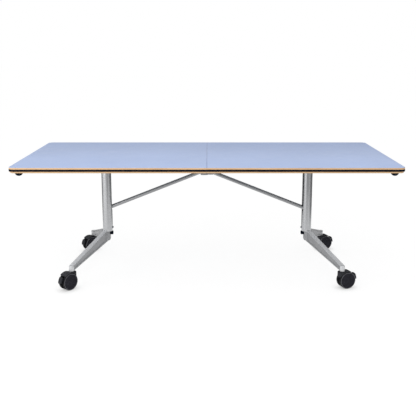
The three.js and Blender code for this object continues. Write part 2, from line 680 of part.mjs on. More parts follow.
// A wheel with a rounded tread and a dished outer face. Its facets touch the tread's circle from
// outside, and it stands on one of them.
function castorWheel(sign) {
  const bore = AXLE_DIAMETER / 2 + PIN_CLEARANCE;
  const dish = WHEEL_DISH_DIAMETER / 2;
  const tread = WHEEL_RADIUS / Math.cos(Math.PI / WHEEL_SIDES);
  const profile = [
    [bore, WHEEL_INNER],
    [tread - WHEEL_ROUNDING, WHEEL_INNER],
    [tread, WHEEL_INNER + WHEEL_ROUNDING],
    [tread, WHEEL_OUTER - WHEEL_ROUNDING],
    [tread - WHEEL_ROUNDING, WHEEL_OUTER],
    [dish, WHEEL_OUTER],
    [dish - WHEEL_DISH_DEPTH, WHEEL_OUTER - WHEEL_DISH_DEPTH],
    [bore, WHEEL_OUTER - WHEEL_DISH_DEPTH],
    [bore, WHEEL_INNER],
  ];
  const wheel = turned(profile, WHEEL_SIDES).rotateZ(Math.PI / WHEEL_SIDES);
  return wheel.rotateX((-sign * Math.PI) / 2).translate(CASTOR_TRAIL, 0, WHEEL_RADIUS);
}

// The pedal hangs behind the wheels on an arm that turns about the axle boss between them.
function brakePedal() {
  const flapRadii = [HOOD_RADIUS, HOOD_RADIUS + PEDAL_WALL];
  const flapY = [-PEDAL_WIDTH / 2, PEDAL_WIDTH / 2];
  const armRadii = [AXLE_BOSS_DIAMETER / 2 + SEAT_GAP, HOOD_RADIUS + PEDAL_WALL / 2];
  const armAngles = [PEDAL_START + PEDAL_ARM_MARGIN, PEDAL_END - PEDAL_ARM_MARGIN];
  const flap = slab(wheelSector(flapRadii, [PEDAL_START, PEDAL_END]), flapY);
  const arm = slab(wheelSector(armRadii, armAngles), [-WEB_HALF, WEB_HALF]);
  return join(flap, arm);
}

// Assembly

function add(group, name, geometry, finish) {
  const mesh = new THREE.Mesh(geometry, new THREE.MeshStandardMaterial(FINISH[finish]));
  mesh.name = name;
  group.add(mesh);
}

function castor(name, place, trail) {
  const group = new THREE.Group();
  group.position.set(place.x, place.y, 0);
  group.rotation.z = trail;
  add(group, `castor_stem_${name}`, castorStem(), "steel");
  add(group, `castor_housing_${name}`, castorHousing(), "plastic");
  add(group, `castor_axle_${name}`, castorAxle(), "steel");
  add(group, `castor_wheel_${name}_a`, castorWheel(-1), "plastic");
  add(group, `castor_wheel_${name}_b`, castorWheel(1), "plastic");
  add(group, `brake_pedal_${name}`, brakePedal(), "plastic");
  return group;
}

// One side of the table. Its near and far ends keep their names when the side is turned round.
function side(name, turn, trails) {
  const group = new THREE.Group();
  group.rotation.z = turn;
  const [nearest, farthest] = turn === 0 ? ["front", "rear"] : ["rear", "front"];
  add(group, `top_panel_${name}`, topPanel(), "core");
  add(group, `laminate_${name}`, laminate(), "laminate");
  add(group, `edge_lipping_${name}`, edgeLipping(), "wood");
  add(group, `bumper_strip_${name}`, bumperStrip(), "rubber");
  add(group, `corner_buffer_${name}_${nearest}`, cornerBuffer(-1), "rubber");
  add(group, `corner_buffer_${name}_${farthest}`, cornerBuffer(1), "rubber");
  add(group, `pivot_bracket_${name}`, pivotBracket(), "steel");
  add(group, `hinge_leaf_${name}`, hingeLeaf(), "casting");
  add(group, `strut_bracket_${name}`, strutBracket(), "steel");
  add(group, `column_${name}`, column(), "aluminium");
  add(group, `column_head_${name}`, columnHead(), "casting");
  add(group, `pivot_pin_${name}`, pivotPin(), "steel");
  add(group, `foot_${name}`, foot(), "casting");
  add(group, `strut_${name}`, strut(), "aluminium");
  add(group, `strut_pin_${name}`, strutPin(), "steel");
  add(group, `stop_buffer_${name}`, stopBuffer(), "rubber");
  add(group, `clamp_bolt_${name}`, clampBolt(), "steel");
  const trailOf = (end) => THREE.MathUtils.degToRad(trails[end]) - turn;
  group.add(castor(`${name}_${nearest}`, tipPlace(-1), trailOf(nearest)));
  group.add(castor(`${name}_${farthest}`, tipPlace(1), trailOf(farthest)));
  return group;
}

const table = new THREE.Group();
table.add(side("left", 0, { front: TRAIL_LEFT_FRONT, rear: TRAIL_LEFT_REAR }));
table.add(side("right", Math.PI, { front: TRAIL_RIGHT_FRONT, rear: TRAIL_RIGHT_REAR }));
add(table, "hinge_pin_front", hingePin(-1), "steel");
add(table, "hinge_pin_rear", hingePin(1), "steel");

export default table;
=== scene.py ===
"""Surfaces, finishes and studio of a conference table that folds at its middle.

The left side is worked out where it stands, and half a turn about Z makes it the right side.
Sizes are in metres. Places and levels come from the frame wherever it holds them.
"""

import json
from collections import namedtuple
from functools import partial
from itertools import product
from math import atan2, cos, hypot, pi, radians, sin

import bmesh
import bpy
import numpy as np
from bpy.props import FloatProperty, FloatVectorProperty, PointerProperty
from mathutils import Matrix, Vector

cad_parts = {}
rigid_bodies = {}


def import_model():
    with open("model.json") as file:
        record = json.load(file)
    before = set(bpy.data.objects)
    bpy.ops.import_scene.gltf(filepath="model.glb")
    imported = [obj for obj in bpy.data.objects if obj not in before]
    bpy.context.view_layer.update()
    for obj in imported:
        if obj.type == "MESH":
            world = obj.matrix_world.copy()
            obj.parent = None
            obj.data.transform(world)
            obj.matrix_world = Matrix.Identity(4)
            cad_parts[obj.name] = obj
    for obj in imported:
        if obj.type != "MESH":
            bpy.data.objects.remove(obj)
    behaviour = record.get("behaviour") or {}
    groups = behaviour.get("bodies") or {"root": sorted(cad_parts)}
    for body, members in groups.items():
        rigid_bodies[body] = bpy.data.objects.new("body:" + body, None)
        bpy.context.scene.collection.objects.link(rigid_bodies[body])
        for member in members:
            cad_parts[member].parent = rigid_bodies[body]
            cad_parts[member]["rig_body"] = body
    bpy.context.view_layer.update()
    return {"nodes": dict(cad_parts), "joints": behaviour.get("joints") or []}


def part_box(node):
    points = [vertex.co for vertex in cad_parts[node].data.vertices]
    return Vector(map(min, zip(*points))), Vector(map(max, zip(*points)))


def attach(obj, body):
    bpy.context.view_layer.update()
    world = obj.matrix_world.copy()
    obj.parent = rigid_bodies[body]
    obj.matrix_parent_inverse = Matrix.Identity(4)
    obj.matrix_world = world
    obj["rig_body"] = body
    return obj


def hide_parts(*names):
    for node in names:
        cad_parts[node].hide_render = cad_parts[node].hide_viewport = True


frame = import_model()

bl_info = {
    "name": "Folding Conference Table",
    "version": (1, 0, 0),
    "blender": (4, 5, 0),
    "location": "3D View > Sidebar > Table",
    "description": "Builds the surfaces, finishes and studio of a folding conference table",
    "category": "Object",
}

SIDES = {"left": 0.0, "right": pi}  # half a turn about Z takes the left side to the right
ENDS = ("front", "rear")
JOINTS = {joint["name"]: joint for joint in frame["joints"]}
MERGE_DISTANCE = 1e-5
SEAT_GAP = 0.0003  # between two pieces that rest on each other, as in the frame
CREASE = radians(32)  # edges sharper than this stay sharp
FLAT = radians(1)  # facets that meet at less than this are one face
SENSOR_WIDTH = 36.0  # of the camera, in millimetres


def extent(node):
    """Lowest and highest corner of a node, as arrays."""
    low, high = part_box(node)
    return np.array(low), np.array(high)


def pivot(joint):
    """Point on a joint's axis."""
    return np.array(JOINTS[joint]["pos_m"])


LAMINATE_LOW, LAMINATE_HIGH = extent("laminate_left")
PANEL_LOW, PANEL_HIGH = extent("top_panel_left")
STRIP_LOW, STRIP_HIGH = extent("bumper_strip_left")
COLUMN_LOW, COLUMN_HIGH = extent("column_left")
STRUT_LOW, STRUT_HIGH = extent("strut_left")
TOP_END = LAMINATE_LOW[0]
TOP_SIDE = LAMINATE_HIGH[1]
SEAM = LAMINATE_HIGH[0]
COLUMN_X = (COLUMN_LOW[0] + COLUMN_HIGH[0]) / 2
COLUMN_RADIUS = (COLUMN_HIGH[0] - COLUMN_LOW[0]) / 2
COLUMN_STRAIGHT = COLUMN_HIGH[1] - COLUMN_RADIUS
STRUT_RADIUS = (STRUT_HIGH[1] - STRUT_LOW[1]) / 2
PLATE_THICKNESS = 0.003  # of the brackets and hinge leaves
PLATE_BOTTOM = extent("pivot_bracket_left")[1][2] - PLATE_THICKNESS


# Settings


def length(name, default, description):
    """A size in metres that a user may change."""
    return FloatProperty(
        name=name, default=default, description=description, min=0.0, precision=4, unit="LENGTH"
    )


def turn_angle(name, degrees, description):
    """An angle that a user may change."""
    return FloatProperty(
        name=name, default=radians(degrees), description=description, subtype="ANGLE"
    )


def fraction(name, default, description):
    """A share from 0 to 1 that a user may change."""
    return FloatProperty(
        name=name, default=default, description=description, min=0.0, max=1.0, subtype="FACTOR"
    )


def power(name, watts, description):
    """A lamp's power that a user may change."""
    return FloatProperty(
        name=name, default=watts, description=description, min=0.0, unit="POWER"
    )


def point(name, default, description):
    """A place in the room that a user may change."""
    return FloatVectorProperty(
        name=name, default=default, description=description, size=3, subtype="XYZ", unit="LENGTH"
    )


def colour(name, screen, description):
    """A colour that a user may change, from 0 to 255 as it looks on a screen."""
    return FloatVectorProperty(
        name=name, default=tuple(value / 255 for value in screen), description=description,
        size=3, min=0.0, max=1.0, subtype="COLOR_GAMMA",
    )


class TopSettings(bpy.types.PropertyGroup):
    """Sizes and colours of the half tops, with their edges and buffers"""

    corner_radius: length("Corner Radius", 0.030, "Radius of the outer corners of the top")
    rim_ease: length("Rim Ease", 0.0006, "Rounding of the laminate's upper rim")
    seam_ease: length("Seam Ease", 0.0016, "Rounding of the laminate along the seam")
    strip_height: length("Strip Groove", 0.012, "Height of the groove for the rubber strip")
    strip_depth: length("Strip Depth", 0.006, "Depth of the groove for the rubber strip")
    lower_bevel: length("Lower Bevel", 0.008, "How far the wood under the strip slopes in")
    backing_sheet: length("Backing Sheet", 0.0008, "Thickness of the sheet under the core")
    buffer_flange: length("Buffer Flange", 0.002, "Height of the rim round a corner buffer")
    buffer_step: length("Buffer Step", 0.0012, "How far that rim stands out past the dome")
    laminate: colour("Laminate", (177, 194, 230), "Sheet on the top")
    wood: colour("Wood", (224, 187, 143), "Lipping round the top")
    wood_grain: colour("Wood Grain", (197, 152, 108), "Darker lines in the lipping")
    board: colour("Board", (176, 146, 106), "Chips of the core")
    backing: colour("Backing", (196, 199, 204), "Sheet under the top")
    rubber: colour("Rubber", (11, 17, 28), "Strip, corner buffers and stops")


class FrameSettings(bpy.types.PropertyGroup):
    """Sizes and colours of the legs, struts, brackets and pins"""

    screw_head: length("Screw Head", 0.0092, "Diameter of the screws' heads")
    screw_height: length("Screw Height", 0.0022, "Height of the screws' heads")
    screw_socket: length("Screw Socket", 0.0042, "Diameter of the sockets in the screws")
    screw_margin: length("Screw Margin", 0.012, "From a plate's edge to its screws")
    leaf_margin: length("Leaf Margin", 0.007, "From a hinge leaf's sides to its screws")
    knuckle_room: length("Knuckle Room", 0.024, "From the hinge's axis to a leaf's inner screws")
    pin_chamfer: length("Pin Chamfer", 0.0008, "Chamfer at the ends of the pins")
    pivot_shank: length("Pivot Shank", 0.010, "Diameter of a pivot pin's shank")
    pivot_head: length("Pivot Head", 0.0043, "Length of a pivot pin's head")
    column_wall: length("Column Wall", 0.004, "Wall of the columns")
    slot_clearance: length("Slot Clearance", 0.0012, "Room beside a strut in its slot")
    slot_below: length("Slot Below Pivot", 0.016, "How far the slot runs below the strut's pin")
    strut_bore: length("Strut Bore", 0.0086, "Diameter of the holes in a strut's eyes")
    bar_ease: length("Bar Ease", 0.0005, "Rounding of a strut's bar inside its eyes")
    eye_round: length("Eye Rounding", 0.0012, "Rounding of a strut's eyes")
    hub_bottom: length("Hub Bottom", 0.186, "Level of the underside of a foot's hub")
    hub_width: length("Hub Width", 0.050, "Size of a foot's hub along the table")
    hub_depth: length("Hub Depth", 0.076, "Size of a foot's hub across the table")
    hub_chamfer: length("Hub Chamfer", 0.016, "Corners cut off the hub, seen from above")
    hub_recess: length("Hub Recess", 0.015, "Hub's inner face behind the column's")
    spigot: length("Spigot", 0.038, "How far a foot reaches up into its column")
    spigot_root: length("Spigot Root", 0.001, "How far a spigot starts inside its hub")
    spigot_ease: length("Spigot Ease", 0.0008, "Rounding of a spigot's ends")
    arm_width: length("Arm Width", 0.030, "Width of the flange along an arm's top")
    arm_flange: length("Arm Flange", 0.009, "Height of the flange along an arm's top")
    arm_web: length("Arm Web", 0.020, "Width of an arm between its flange and its rib")
    arm_keel_width: length("Arm Keel Width", 0.026, "Width of the rib along an arm's underside")
    arm_keel: length("Arm Keel", 0.011, "Height of the rib along an arm's underside")
    arm_root_top: length("Arm Root Top", 0.262, "Level of an arm's top at the column")
    arm_tip_top: length("Arm Tip Top", 0.138, "Level of an arm's top at the castor")
    casting_round: length("Casting Rounding", 0.0025, "Rounding of the castings' edges")
    plate_round: length("Edge Rounding", 0.0006, "Rounding of the brackets' and columns' edges")
    aluminium: colour("Aluminium", (188, 189, 191), "Columns")
    # painted shade: the struts take a darker copy of the columns' aluminium, standing for the shade
    # under the top
    strut_metal: colour("Strut Metal", (156, 157, 159), "Struts")
    casting: colour("Casting", (160, 161, 163), "Feet, hinge leaves and column heads")
    # painted light: the arms' top faces and posts take a lighter copy of the casting, for the light
    # that falls on them from above, besides their polish
    polished: colour("Polished Casting", (208, 209, 211), "Top faces and posts of the feet's arms")
    steel: colour("Steel", (150, 152, 156), "Brackets, pins and screws")


class CastorSettings(bpy.types.PropertyGroup):
    """Sizes and colours of the castors"""

    wheel_width: length("Wheel Width", 0.0205, "Width of one wheel")
    wheel_space: length("Wheel Space", 0.013, "Room between the two wheels of a castor")
    tread_round: length("Tread Rounding", 0.004, "Rounding of a tread's edges")
    dish_diameter: length("Dish Diameter", 0.066, "Sunken disc on a wheel's outer face")
    dish_depth: length("Dish Depth", 0.0025, "How deep the disc lies")
    axle: length("Axle Diameter", 0.008, "Diameter of the axles")
    axle_cover: length("Axle Cover", 0.002, "How deep an axle's ends lie under the discs")
    axle_boss: length("Axle Boss", 0.024, "Diameter of the housing round an axle")
    web_gap: length("Web Gap", 0.001, "Room between the housing's web and a wheel")
    hood_gap: length("Hood Gap", 0.0025, "Room between the tread and its hood")
    hood_wall: length("Hood Wall", 0.0024, "Thickness of a hood")
    hood_round: length("Hood Rounding", 0.0011, "Rounding of a hood's edges")
    hood_ease: length("Hood Ease", 0.0015, "Rounding of a hood's ends")
    hood_start: turn_angle("Hood Start", 48, "Trailing end of a hood, round the axle")
    hood_end: turn_angle("Hood End", 118, "Where a hood runs into its nose, round the axle")
    web_start: turn_angle("Web Start", 95, "Trailing side of the web between the wheels")
    web_end: turn_angle("Web End", 145, "Leading side of the web between the wheels")
    web_round: length("Web Rounding", 0.0005, "Rounding of the web and of the boss")
    nose_bottom: length("Nose Bottom", 0.072, "Level of the lower end of a hood's round nose")
    pedal_start: turn_angle("Pedal Start", 0, "Lower end of a brake pedal, round the axle")
    pedal_end: turn_angle("Pedal End", 36, "Upper end of a brake pedal, round the axle")
    pedal_margin: turn_angle("Pedal Margin", 5, "Part of a pedal beyond its arm, at each end")
    pedal_wall: length("Pedal Wall", 0.012, "Thickness of a brake pedal")
    pedal_width: length("Pedal Width", 0.026, "Width of a brake pedal")
    pedal_round: length("Pedal Rounding", 0.0027, "Rounding of a brake pedal's edges")
    pedal_arm_round: length("Pedal Arm Rounding", 0.0006, "Rounding of a pedal's arm")
    rib_height: length("Rib Height", 0.0006, "Height of the ribs on a pedal")
    rib_margin: length("Rib Margin", 0.006, "From a pedal's sides to its ribs")
    stem: length("Stem Diameter", 0.010, "Diameter of a castor's stem")
    collar: length("Collar Diameter", 0.022, "Diameter of the collar on a stem")
    collar_height: length("Collar Height", 0.0024, "Height of the collar on a stem")
    plastic: colour("Plastic", (34, 35, 39), "Hoods and pedals")
    disc: colour("Disc", (30, 30, 36), "Outer faces of the wheels")
    tread: colour("Tread", (18, 18, 21), "Running surface of the wheels")
    # painted highlight: the lighter ring round a wheel's outer face stands for light caught on its
    # edge
    rim: colour("Rim", (74, 74, 78), "Worn edge round a wheel's outer face")


class StudioSettings(bpy.types.PropertyGroup):
    """The camera, the light and the floor"""

    camera_place: point("Camera Place", (0.0063, -4.1166, 1.3931), "Where the camera stands")
    camera_pitch: turn_angle("Camera Pitch", 10.792, "How far the camera looks down")
    camera_lens: FloatProperty(
        name="Camera Lens", default=57.71, description="Focal length on a 36 mm sensor",
        unit="CAMERA",
    )
    camera_shift: FloatProperty(
        name="Camera Shift", default=-0.081, description="Vertical shift of the lens"
    )
    ambient: fraction("Ambient", 0.78, "Strength of the light from all round")
    lamp_size: length("Lamp Size", 1.8, "Side of the lamps' square faces")
    key_power: power("Key Power", 30.0, "Light from the front left")
    key_place: point("Key Place", (-2.8, -2.4, 1.2), "Where the front left lamp stands")
    key_target: point("Key Target", (-0.4, -0.2, 0.5), "What the front left lamp faces")
    overhead_power: power("Overhead Power", 26.0, "Light from above the front")
    overhead_place: point("Overhead Place", (0.3, -3.0, 2.5), "Where the overhead lamp hangs")
    overhead_target: point("Overhead Target", (0.0, 0.0, 0.4), "What the overhead lamp faces")
    floor_shade: fraction("Floor Shade", 0.2, "Share of the floor's white that shadows may take")
    floor_light: fraction("Floor Light", 0.8, "Share of the light that the floor sends up")
    floor_reach: length("Floor Reach", 40.0, "From the table to the floor's edges")
    contact_shade: fraction("Contact Shade", 0.6, "How dark the floor gets under what it bears")
    contact_reach: length("Contact Reach", 0.05, "How far from the floor a piece still darkens it")
    card_height: length("Card Height", 0.9, "Height of the reflecting cards")


# Surfaces

Shape = namedtuple("Shape", "points quads caps uv paint")


def unit(vectors):
    """Vectors of length one, row by row."""
    return vectors / np.linalg.norm(vectors, axis=-1, keepdims=True)


def polar(radius, angle):
    """Points on a circle about the origin."""
    return radius * np.stack([np.cos(angle), np.sin(angle)], 1)


def grid(points, capped=False, paint=0):
    """Surface through rows and columns of points, with a quad between each four neighbours.

    u and v are the mean lengths along the rows and columns, in metres. A capped grid has closed
    outlines as rows, and its first and last row are filled.
    """
    rows, cols = points.shape[:2]
    first = (np.arange(rows - 1)[:, None] * cols + np.arange(cols - 1)).ravel()
    quads = np.stack([first, first + 1, first + cols + 1, first + cols], 1)
    outline = np.arange(cols - 1)
    caps = [outline[::-1], outline + (rows - 1) * cols] if capped else []
    u = np.append(0, np.linalg.norm(np.diff(points, axis=0), axis=2).mean(1).cumsum())
    v = np.append(0, np.linalg.norm(np.diff(points, axis=1), axis=2).mean(0).cumsum())
    uv = np.stack(np.meshgrid(u, v, indexing="ij"), -1).reshape(-1, 2)
    return Shape(points.reshape(-1, 3), quads, caps, uv, np.full(len(quads), paint))


def joined(*shapes):
    """Several surfaces as one, their points numbered on from each other."""
    starts = np.cumsum([0] + [len(shape.points) for shape in shapes])
    return Shape(
        np.concatenate([shape.points for shape in shapes]),
        np.concatenate([shape.quads + start for shape, start in zip(shapes, starts)]),
        [cap + start for shape, start in zip(shapes, starts) for cap in shape.caps],
        np.concatenate([shape.uv for shape in shapes]),
        np.concatenate([shape.paint for shape in shapes]),
    )


def placed(shape, turn=0.0, offset=(0, 0, 0)):
    """The surface turned about Z, then moved."""
    x, y, z = shape.points.T
    points = np.stack([x * cos(turn) - y * sin(turn), x * sin(turn) + y * cos(turn), z], 1)
    return shape._replace(points=points + np.asarray(offset))


def tilted(shape, angle):
    """The surface turned about Y, so that its +X end rises by the angle."""
    x, y, z = shape.points.T
    points = np.stack([x * cos(angle) - z * sin(angle), y, x * sin(angle) + z * cos(angle)], 1)
    return shape._replace(points=points)


def laid(shape, axis):
    """The surface with its Z axis laid along axis 0 (X) or 1 (Y), the other two following round."""
    return shape._replace(points=np.roll(shape.points, axis + 1, axis=1))


def arcs(corners, before, after, steps):
    """An arc in place of each corner, a row of x, y and radius.

    Its centre lies on the bisector at radius / sin(half the corner's angle), and it sweeps from
    where it touches the line before to where it touches the line after.
    """
    place, radius = corners[:, :2], corners[:, 2:]
    back = unit(before[:, :2] - place)
    ahead = unit(after[:, :2] - place)
    half = np.arccos(np.clip((back * ahead).sum(1, keepdims=True), -1, 1)) / 2
    centre = place + unit(back + ahead) * (radius / np.sin(half))
    spoke = place + back * (radius / np.tan(half)) - centre
    side = np.sign(ahead[:, :1] * back[:, 1:] - ahead[:, 1:] * back[:, :1])
    angle = side * (pi - 2 * half) * np.linspace(0, 1, steps + 1)
    x = centre[:, :1] + spoke[:, :1] * np.cos(angle) - spoke[:, 1:] * np.sin(angle)
    y = centre[:, 1:] + spoke[:, :1] * np.sin(angle) + spoke[:, 1:] * np.cos(angle)
    return np.stack([x, y], -1).reshape(-1, 2)


def rounded(corners, steps=4):
    """Closed outline of (x, y, radius) corners with an arc at each, its first point repeated."""
    corners = np.asarray(corners, float)
    outline = arcs(corners, np.roll(corners, 1, 0), np.roll(corners, -1, 0), steps)
    return np.vstack([outline, outline[:1]])


def eased(corners, steps=3):
    """Open line of (x, y, radius) corners with an arc at each but its two ends."""
    corners = np.asarray(corners, float)
    middle = arcs(corners[1:-1], corners[:-2], corners[2:], steps)
    return np.vstack([corners[:1, :2], middle, corners[-1:, :2]])


def box_outline(x0, x1, y0, y1, radius, steps=4):
    """Rectangle with rounded corners."""
    return rounded([(x0, y0, radius), (x1, y0, radius), (x1, y1, radius), (x0, y1, radius)], steps)


def turned(profile, sides=40, paint=0):
    """A line of (radius, height) pairs turned about Z: x = r cos a, y = r sin a, z = h."""
    radius, height = np.asarray(profile, float).T
    angle = np.linspace(0, 2 * pi, sides + 1)[:, None]
    x = radius * np.cos(angle)
    y = radius * np.sin(angle)
    return grid(np.stack([x, y, np.broadcast_to(height, x.shape)], -1), paint=paint)


def run(start, stop, ease, pitch=1.0, middle=0, steps=3):
    """Stations from start to stop, and how far an outline is drawn in at each.

    At both ends the inset follows a quarter circle of radius ease. Pitch is the stations' unit
    per metre, which is 1 / radius where the stations are angles.
    """
    angle = np.linspace(0, pi / 2, steps + 1)
    head = start + ease * pitch * (1 - np.cos(angle))
    tail = stop - ease * pitch * (1 - np.cos(angle[::-1]))
    body = np.linspace(head[-1], tail[0], middle + 2)[1:-1]
    inset = ease * (1 - np.sin(angle))
    return np.concatenate([head, body, tail]), np.concatenate([inset, 0 * body, inset[::-1]])


def carried(outline, stations, insets, place):
    """A closed outline, counter-clockwise, carried past stations and drawn in at each.

    A point moves in along the outline's normal there. place(p, q, station) gives its x, y and z.
    """
    edge = unit(np.diff(outline, axis=0))
    along = unit(edge + np.roll(edge, 1, 0))
    inward = np.stack([-along[:, 1], along[:, 0]], 1)
    inward = np.vstack([inward, inward[:1]])
    flat = outline + inward * insets[:, None, None]
    p, q = flat[..., 0], flat[..., 1]
    points = place(p, q, np.broadcast_to(stations[:, None], p.shape))
    return grid(np.stack(points, -1), capped=True)


def upright(p, q, station):
    """Outline in the floor plane, carried up."""
    return p, q, station


def lengthwise(p, q, station):
    """Outline in the plane of Y and Z, carried along X."""
    return station, p, q


def crosswise(p, q, station):
    """Outline in the plane of X and Z, carried along Y."""
    return p, -station, q


def half_edge(inset, seam_inset=0.0):
    """Edge of a half top from the seam round its end and back to the seam, one line per inset.

    Each corner is a quarter circle whose radius shrinks by the inset. Past the corner's radius it
    is a sharp corner that moves in with the inset.
    """
    top = bpy.context.scene.table_top
    inset = np.asarray(inset, float)
    radius = np.maximum(top.corner_radius - inset, 0)
    slip = np.maximum(inset - top.corner_radius, 0)
    angle = np.linspace(0, pi / 2, 9)[:, None]
    x = TOP_END + top.corner_radius + slip - radius * np.sin(angle)
    y = top.corner_radius + slip - TOP_SIDE - radius * np.cos(angle)
    corner = np.stack([x, y], -1)
    start = np.stack([np.broadcast_to(SEAM - seam_inset, inset.shape), inset - TOP_SIDE], -1)[None]
    mirror = np.array([1, -1])
    return np.concatenate([start, corner, corner[::-1] * mirror, start * mirror])


def carried_round_top(profile):
    """A closed profile of (inset, level) pairs carried along the edge of a half top."""
    inset, level = profile.T
    path = half_edge(inset)
    level = np.broadcast_to(level, path.shape[:2])
    return grid(np.concatenate([path, level[..., None]], -1), capped=True)


# Pieces


def add_piece(name, shape, finishes, body, replaces=(), sealed=True):
    """Makes an object of a surface, with its doubles merged, and ties it to the frame."""
    mesh = bpy.data.meshes.new(name)
    mesh.from_pydata(shape.points, [], shape.quads.tolist() + [cap.tolist() for cap in shape.caps])
    corner = np.empty(len(mesh.loops), np.int32)
    mesh.loops.foreach_get("vertex_index", corner)
    layer = mesh.uv_layers.new(name="surface")
    layer.data.foreach_set("uv", shape.uv[corner].astype(np.float32).ravel())
    paint = np.append(shape.paint, np.zeros(len(shape.caps), int)).astype(np.int32)
    mesh.polygons.foreach_set("material_index", paint)
    merged = bmesh.new()
    merged.from_mesh(mesh)
    bmesh.ops.remove_doubles(merged, verts=merged.verts, dist=MERGE_DISTANCE)
    if sealed:
        bmesh.ops.recalc_face_normals(merged, faces=merged.faces)
    merged.to_mesh(mesh)
    merged.free()
    return tie(name, mesh, finishes, body, replaces)


def add_pair(name, shape, finishes, body, node=None, sealed=True):
    """Makes a piece of the left side and, half a turn round, that of the right side."""
    pair = []
    for side, turn in SIDES.items():
        replaces = [f"{node}_{side}"] if node else []
        piece = add_piece(
            f"{name}_{side}", placed(shape, turn), finishes, f"{side}_{body}", replaces, sealed
        )
        pair.append(piece)
    return pair


def add_softened(node, finish, width):
    """Makes a copy of a bracket's solid, its facets joined to flat faces and its edges rounded."""
    mesh = bpy.data.meshes.new(node + "_soft")
    merged = bmesh.new()
    merged.from_mesh(frame["nodes"][node].data)
    bmesh.ops.remove_doubles(merged, verts=merged.verts, dist=MERGE_DISTANCE)
    bmesh.ops.dissolve_limit(merged, angle_limit=FLAT, verts=merged.verts, edges=merged.edges)
    merged.to_mesh(mesh)
    merged.free()
    mesh.materials.clear()
    piece = tie(node + "_soft", mesh, [finish], frame["nodes"][node]["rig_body"], [node])
    add_bevel(piece, width)


def add_bevel(piece, width):
    """Rounds the piece's sharp edges."""
    bevel = piece.modifiers.new("Rounded edges", "BEVEL")
    bevel.width = width
    bevel.segments = 2
    bevel.limit_method = "ANGLE"
    bevel.angle_limit = CREASE


def tie(name, mesh, finishes, body, replaces):
    """Links a mesh as an object that rides on a body and stands for the nodes it replaces.
    """
    for finish in finishes:
        mesh.materials.append(material_of(finish))
    mesh.set_sharp_from_angle(angle=CREASE)
    piece = bpy.data.objects.new(name, mesh)
    bpy.context.scene.collection.objects.link(piece)
    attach(piece, body)
    if replaces:
        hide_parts(*replaces)
    return piece


# Finishes

WHITE = (1.0, 1.0, 1.0)


def linear(screen):
    """Light of a screen colour: the sRGB curve undone, with full opacity."""
    value = np.asarray(screen, float)
    light = np.where(value <= 0.04045, value / 12.92, ((value + 0.055) / 1.055) ** 2.4)
    return (*light.tolist(), 1.0)


def shaded(screen, factor):
    """A screen colour made lighter or darker."""
    return tuple(min(1.0, value * factor) for value in screen)


def grey(light):
    """A grey that is such a share of white, with full opacity."""
    return (light, light, light, 1.0)


def empty_tree(owner):
    """The node tree of a material or world, with no node in it."""
    owner.use_nodes = True
    owner.node_tree.nodes.clear()
    return owner.node_tree


def add_node(tree, kind, inputs=None, **settings):
    """Adds a shader node, and sets or links the inputs that are named."""
    made = tree.nodes.new(kind)
    for key, value in settings.items():
        setattr(made, key, value)
    for key, value in (inputs or {}).items():
        if isinstance(value, bpy.types.NodeSocket):
            tree.links.new(value, made.inputs[key])
        else:
            made.inputs[key].default_value = value
    return made


def place_on(tree, source, scale=(1, 1, 1)):
    """Object or UV coordinates, stretched."""
    coordinates = add_node(tree, "ShaderNodeTexCoord")
    inputs = {"Vector": coordinates.outputs[source], "Scale": scale}
    return add_node(tree, "ShaderNodeMapping", inputs).outputs["Vector"]


def coordinate(tree, vector, axis):
    """One coordinate of a vector, by the axis's name."""
    return add_node(tree, "ShaderNodeSeparateXYZ", {"Vector": vector}).outputs[axis]


def maths(tree, operation, *values):
    """One step of arithmetic on values that change over the surface."""
    inputs = dict(enumerate(values))
    return add_node(tree, "ShaderNodeMath", inputs, operation=operation).outputs[0]


def noise(tree, vector, scale, detail=3.0, roughness=0.5):
    """Smooth noise from 0 to 1, with so many bumps in a metre."""
    inputs = {"Vector": vector, "Scale": scale, "Detail": detail, "Roughness": roughness}
    return add_node(tree, "ShaderNodeTexNoise", inputs).outputs["Fac"]


def cells(tree, vector, scale, output):
    """Cells, so many in a metre: each one's own Color, or the Distance from its middle."""
    inputs = {"Vector": vector, "Scale": scale}
    return add_node(tree, "ShaderNodeTexVoronoi", inputs).outputs[output]


def ramp(tree, value, stops):
    """Colour along a value, given as {place: screen colour}."""
    made = add_node(tree, "ShaderNodeValToRGB", {"Fac": value})
    elements = made.color_ramp.elements
    while len(elements) < len(stops):
        elements.new(0.5)
    for element, (place, screen) in zip(elements, sorted(stops.items())):
        element.position = place
        element.color = linear(screen)
    return made.outputs["Color"]


def shades(tree, value, screen, stops):
    """Lighter and darker shades of a screen colour along a value, given as {place: factor}."""
    return ramp(tree, value, {place: shaded(screen, factor) for place, factor in stops.items()})


def spread(tree, value, low, high, start=0.3, stop=0.7):
    """A value between start and stop, brought to between low and high."""
    inputs = {"Value": value, "From Min": start, "From Max": stop, "To Min": low, "To Max": high}
    return add_node(tree, "ShaderNodeMapRange", inputs).outputs["Result"]


def blended(tree, kind, factor, first, second):
    """Two colours mixed the given way, by a factor."""
    inputs = {0: factor, 6: first, 7: second}  # sockets 6 and 7 are the node's two colours
    mix = add_node(tree, "ShaderNodeMix", inputs, data_type="RGBA", blend_type=kind)
    return mix.outputs[2]


def multiplied(tree, first, *others):
    """Colours laid over each other, each darkening the ones before."""
    for other in others:
        first = blended(tree, "MULTIPLY", 1.0, first, other)
    return first


def bump(tree, height, distance, strength):
    """Surface tilted by a height, as if it rose by the distance."""
    inputs = {"Height": height, "Distance": distance, "Strength": strength}
    return add_node(tree, "ShaderNodeBump", inputs).outputs["Normal"]


